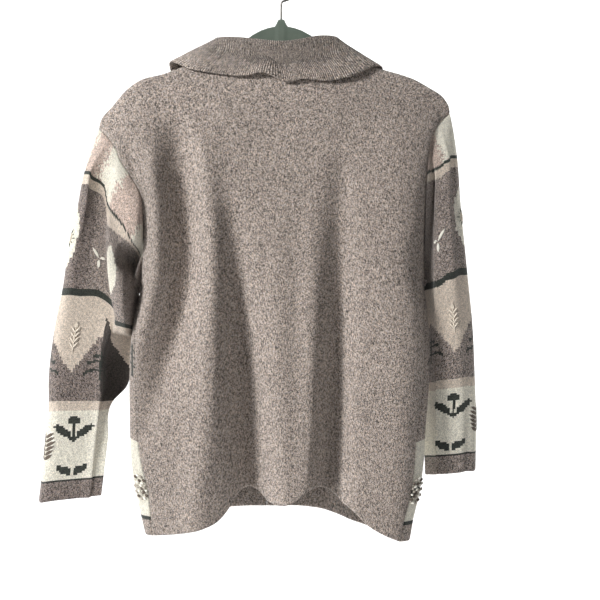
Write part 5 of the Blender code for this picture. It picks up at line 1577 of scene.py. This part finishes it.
def make_sleeve(side, name):
    grid, out = sleeves[side]
    left, right = sleeve_places(grid)
    rows = len(grid)
    down = np.arange(rows) * SLEEVE_LENGTH / (rows - 1)
    middle = 0.25 * (left[:-1] + left[1:] + right[:-1] + right[1:])
    cell_down = np.broadcast_to(0.5 * (down[:-1] + down[1:])[:, None], middle.shape)
    cells = 0.25 * (grid[:-1] + grid[1:] + np.roll(grid, -1, axis=1)[:-1]
                    + np.roll(grid, -1, axis=1)[1:])
    on_pleat = (middle < PLEAT[0]) | (middle > PLEAT[1])
    seen = down_by_height(side, cells[..., 0], cells[..., 2], cell_down)
    codes = sleeve_pattern(middle, np.where(on_pleat, seen, cell_down), side)
    # painted light: past the crease the left pleat faces the light, so its taupe is paler as far as
    # the second dark stripe
    lit_pleat = (side < 0) & (middle > LIT_PLEAT_FROM) & (codes == yarn_code("sleeve_taupe"))
    codes[lit_pleat & (cell_down < LIT_PLEAT_END)] = yarn_code("painted_light_taupe")
    across = np.concatenate([left, right[:, -1:]], axis=1)
    flat = np.stack([across * MM, np.broadcast_to(down[:, None] * MM, across.shape)], axis=-1)
    return cloth_mesh(name, grid, out, True, flat, codes, BANDED_KNIT)


back = hang(make_back(), "back")
front_left = hang(make_front(-1, "front_left_knit"), "front_left")
front_right = hang(make_front(1, "front_right_knit"), "front_right")
sleeve_left = hang(make_sleeve(-1, "sleeve_left_knit"), "sleeve_left")
sleeve_right = hang(make_sleeve(1, "sleeve_right_knit"), "sleeve_right")
collar_piece = hang(
    cloth_mesh("collar_knit", collar, collar_out, False, flat_stitches(collar),
               collar_codes(collar), RIBBED_KNIT), "collar")
for side, name in ((-1, "band_left"), (1, "band_right")):
    grid, out = bands[side]
    hang(cloth_mesh(name + "_knit", grid, out, False, flat_stitches(grid), plain_codes(grid),
                    PLAIN_KNIT), name)

# %% [markdown]
# The embroidery.  It is real thread on top of the knitting: a ring of beads and short green
# stitches on each medallion, a white twig of three leaves beside it, a pale ear of grain on
# the beige point, and a flower in brown and white wool on the cream band.  It could be painted
# on, but thread stands off the cloth and catches the light.  Each stitch is a short thread
# laid on the cloth, thicker in its middle; its ends are given in millimetres from the motif's
# middle, with y up the sleeve.

# %% Motifs in thread
Stitch = namedtuple("Stitch", "x0 y0 x1 y1 width yarn")
THREADS = {"white": swatch(234, 230, 218), "brown": swatch(92, 80, 70),
           "green": swatch(66, 72, 56), "grey": swatch(168, 160, 148),
           "pale": swatch(220, 209, 193)}


def leaf(x0, y0, x1, y1, width, yarn, strands=4):
    """Strands side by side from one end of a leaf to the other."""
    along = np.array([x1 - x0, y1 - y0])
    across = np.array([-along[1], along[0]]) / np.hypot(*along)
    made = []
    for k in range(strands):
        off = (k / (strands - 1) - 0.5) * width * 0.8
        inset = 0.22 * abs(2 * k / (strands - 1) - 1)
        start = np.array([x0, y0]) + inset * along + off * across
        end = np.array([x1, y1]) - inset * along + off * across
        made.append(Stitch(*start, *end, 1.35 * width / strands, yarn))
    return made


def bead_ring(radius, count, width, yarn):
    made = []
    for k in range(count):
        turn = 2 * math.pi * k / count
        x, y = radius * math.cos(turn), radius * math.sin(turn)
        made.append(Stitch(x - 0.5, y, x + 0.5, y, width, yarn))
    return made


def star(inner, lengths, width, yarn):
    """Stitches out from the middle, one to each length."""
    made = []
    for k, reach in enumerate(lengths):
        turn = 2 * math.pi * k / len(lengths)
        across, up = math.cos(turn), math.sin(turn)
        made.append(Stitch(inner * across, inner * up, reach * across, reach * up, width, yarn))
    return made


MEDALLION_MIDDLE = bead_ring(5.4, 9, 3.0, "pale") + star(
    7.2, (13, 11, 14, 11, 13, 12, 14, 11, 13, 11), 1.5, "green") + bead_ring(1.6, 4, 1.8, "grey")
TWIG = (leaf(0, 0, -13, 16, 3.4, "white") + leaf(0, 1, 12, 12, 3.2, "white", 3)
        + leaf(0, 0, 0, -17, 4.0, "white"))


def petals():
    """Brown petals in pairs up the flower, each with a thinner white one over it."""
    made = []
    for y in range(-18, 15, 6):
        reach = 18 - 0.25 * abs(y)
        for side in (-1, 1):
            made += leaf(-side, y, side * reach, y + 7, 4.4, "brown")
            made += leaf(0, y + 3, side * (reach + 2), y + 10, 3.1, "white")
    return made


def cluster(rings, stretch, mixed=("grey", "white", "brown", "white", "grey", "brown")):
    """Short stitches of mixed yarns in rings, drawn out lengthwise."""
    made = []
    for radius, count, width in rings:
        for k, bead in enumerate(bead_ring(radius, count, width, "grey")):
            y = bead.y0 * stretch
            made.append(Stitch(bead.x0 - 1.5, y, bead.x1 + 1.5, y + 2.5, width,
                               mixed[k % len(mixed)]))
    return made


FLOWER = petals()
SMALL_FLOWER = cluster([(1.5, 3, 3.6), (5.5, 8, 4.0), (10.0, 13, 4.2)], 1.6)
EAR = ([Stitch(0, -22, 0, 12, 1.8, "pale")]
       + [Stitch(0, y, side * 6, y + 7, 2.4, "pale") for y in (-14, -7, 0, 7) for side in (-1, 1)]
       + leaf(0, 11, 0, 22, 3.6, "pale", 3))
print(len(TWIG), "stitches in a twig and", len(FLOWER), "in a flower")


# %% Laying threads on the cloth
def make_placer(grid, out, arcs, downs):
    """A function from a place on the flat cloth to the point and the outward vector there."""
    def place(across, down):
        row = float(np.interp(down, downs, np.arange(len(downs))))
        low = min(int(row), len(downs) - 2)
        total = np.zeros(6)
        for i, share in ((low, 1 - row + low), (low + 1, row - low)):
            order = np.argsort(arcs[i])
            total += share * np.array([np.interp(across, arcs[i][order], source[i, order, axis])
                                       for source in (grid, out) for axis in range(3)])
        return total[:3], unit(total[3:])
    return place


THREAD_SIDES = 6
THREAD_RINGS = (0.0, 0.12, 0.35, 0.65, 0.88, 1.0)   # fractions of a thread's length
THREAD_END = 0.25       # thickness of its ends, as a part of its middle's
THREAD_FLAT = 0.75      # its height, as a part of its width
THREAD_LIFT = 0.35      # its middle's height over the cloth, as a part of its width


def lay_stitch(stitch, place, across, down):
    """Rings of points round one thread, from end to end."""
    rings = []
    ends = [place(across + x, down - y) for x, y in
            ((stitch.x0, stitch.y0), (stitch.x1, stitch.y1))]
    along = unit(ends[1][0] - ends[0][0])
    for t in THREAD_RINGS:
        x = stitch.x0 + (stitch.x1 - stitch.x0) * t
        y = stitch.y0 + (stitch.y1 - stitch.y0) * t
        point, outward = place(across + x, down - y)
        side = unit(np.cross(outward, along))
        fullness = THREAD_END + (1 - THREAD_END) * math.sin(math.pi * t) ** 0.5
        thick = 0.5 * stitch.width * fullness
        middle = point + outward * (THREAD_LIFT * stitch.width)
        rings.append([middle + thick * (math.cos(a) * side + THREAD_FLAT * math.sin(a) * outward)
                      for a in np.arange(THREAD_SIDES) * 2 * math.pi / THREAD_SIDES])
    return np.array(rings)


def make_embroidery(name, place, motifs):
    """One mesh of every thread of the motifs, which are (stitches, across, down)."""
    points, faces, colors = [], [], []
    for stitches, across, down in motifs:
        for stitch in stitches:
            rings = lay_stitch(stitch, place, across, down)
            first, count = len(points), THREAD_SIDES
            points.extend(rings.reshape(-1, 3) * MM)
            made = [(first + i * count + (j + 1) % count, first + i * count + j,
                     first + (i + 1) * count + j, first + (i + 1) * count + (j + 1) % count)
                    for i in range(len(rings) - 1) for j in range(count)]
            made.append(tuple(first + j for j in range(count)))
            made.append(tuple(first + (len(rings) - 1) * count + j
                              for j in reversed(range(count))))
            faces.extend(made)
            colors.extend([(*THREADS[stitch.yarn], 1.0)] * len(made))
    made = add_mesh(name, [tuple(point) for point in points], faces, THREAD)
    store(made.data, "yarn", "FLOAT_COLOR", "FACE", "color", np.array(colors))
    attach(made, "root")
    print(name, len(faces), "faces")
    return made


# %% [markdown]
# Embroidery wool is looser than the knitting, so it has no stitches of its own, only fibres:
# fine noise lightens and darkens the stored colour and gives the thread a slight relief.

# %% Thread material
def thread_material():
    """Loose wool thread: its colour is on the faces, with strands of light and dark."""
    made, tree, shader = new_material("embroidery_wool", Roughness=0.8, Sheen_Weight=0.15)
    yarn = tree.nodes.new("ShaderNodeAttribute")
    yarn.attribute_name = "yarn"
    place = tree.nodes.new("ShaderNodeTexCoord")
    fibre = add_noise(tree, place.outputs["Object"], 1500.0, 3.0, 0.7)
    strength = math_node(tree, "MULTIPLY_ADD", fibre, 0.9, 0.55)
    shade = tree.nodes.new("ShaderNodeVectorMath")
    shade.operation = "SCALE"
    give(tree, shade.inputs[0], yarn.outputs["Color"])
    set_inputs(tree, shade, Scale=strength)
    set_inputs(tree, shader, Base_Color=shade.outputs[0])
    add_bump(tree, shader, fibre, 0.6, 0.0006)
    return made


THREAD = thread_material()
print("thread:", THREAD.name)

# %% [markdown]
# Where the motifs sit.  Each is placed on the flat cloth, like the charts, and a small map from
# the flat cloth to the hung one lays its threads over the folds.

# %% Embroidery on the sleeves and the side strips
# places are millimetres from the top fold or the side seam, and down from the shoulder
MEDALLION_AT = (MEDALLION["across"], MEDALLION["down"])
TWIG_AT = {-1: (66.0, 176.0), 1: (63.0, 177.0)}
EAR_AT = (FIRST_COLUMN + MOTIF_PITCH / 2, 296.0)
FLOWER_AT = (FIRST_COLUMN + 2.0, 446.0)
STRIP_FLOWER_AT = (9.0, 0.885 * FRONT_LENGTH)
for side, name in ((-1, "left"), (1, "right")):
    grid, out = sleeves[side]
    place = make_placer(grid, out, sleeve_places(grid)[0],
                        np.arange(len(grid)) * SLEEVE_LENGTH / (len(grid) - 1))
    make_embroidery(
        "sleeve_" + name + "_embroidery", place,
        [(MEDALLION_MIDDLE, *MEDALLION_AT), (TWIG, *TWIG_AT[side]), (EAR, *EAR_AT),
         (FLOWER, *FLOWER_AT)])
    grid = grids[side]
    place = make_placer(grid, outs[side], running_length(grid), ROWS * FRONT_LENGTH)
    make_embroidery(
        "front_" + name + "_embroidery", place, [(SMALL_FLOWER, *STRIP_FLOWER_AT)])

# %% [markdown]
# The hanger and the buttons keep the shapes they have in the frame and get real surfaces: a
# matt moulded plastic, a dark drawn wire and a plain horn button with a faint ringed grain.

# %% Surfaces of the hanger and the buttons
GRAIN = 12              # the grain is this many times finer than the mottling


def grained(name, color, other, scale, roughness, relief, stretch=(1.0, 1.0, 1.0)):
    """A hard surface mottled between two colours, with a fine grain in its bump."""
    made, tree, shader = new_material(name, Base_Color=(*color, 1.0), Roughness=roughness)
    place = tree.nodes.new("ShaderNodeTexCoord").outputs["Object"]
    shape = set_inputs(tree, tree.nodes.new("ShaderNodeMapping"), Scale=stretch, Vector=place)
    mottle = add_noise(tree, shape.outputs["Vector"], scale, 3.0, 0.6)
    mixer = tree.nodes.new("ShaderNodeMix")
    mixer.data_type = "RGBA"
    set_inputs(tree, mixer, Factor=mottle, A=(*color, 1.0), B=(*other, 1.0))
    set_inputs(tree, shader, Base_Color=mixer.outputs["Result"])
    grain = add_noise(tree, shape.outputs["Vector"], scale * GRAIN, 2.0, 0.6)
    add_bump(tree, shader, grain, 0.5, relief)
    return made


PLASTIC = grained("moulded_plastic", swatch(84, 96, 86), swatch(102, 113, 101), 90.0, 0.5, 0.0002)
WIRE = grained("dark_steel_wire", swatch(70, 68, 66), swatch(104, 102, 99), 160.0, 0.34, 0.0001,
               (1.0, 1.0, 0.15))
WIRE.node_tree.nodes["Principled BSDF"].inputs["Metallic"].default_value = 1.0
HORN = grained("horn_button", swatch(96, 80, 66), swatch(146, 126, 106), 130.0, 0.3, 0.0001,
               (1.0, 1.0, 3.0))


def surface_for(node):
    if node.startswith("button"):
        return HORN
    return WIRE if node == "hanger_hook" else PLASTIC


for node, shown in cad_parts.items():
    if node.startswith(("button", "hanger")):
        shown.data.materials.clear()
        shown.data.materials.append(surface_for(node))
        print(node, "is now", shown.data.materials[0].name)

# %% [markdown]

# %% [markdown]
# Last, the sizes of the imported frame and of the finished garment are printed.

# %% Finish
for title, corners in (("cad", cad_box), ("visual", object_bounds())):
    print(title, [[round(value, 4) for value in corner] for corner in corners])
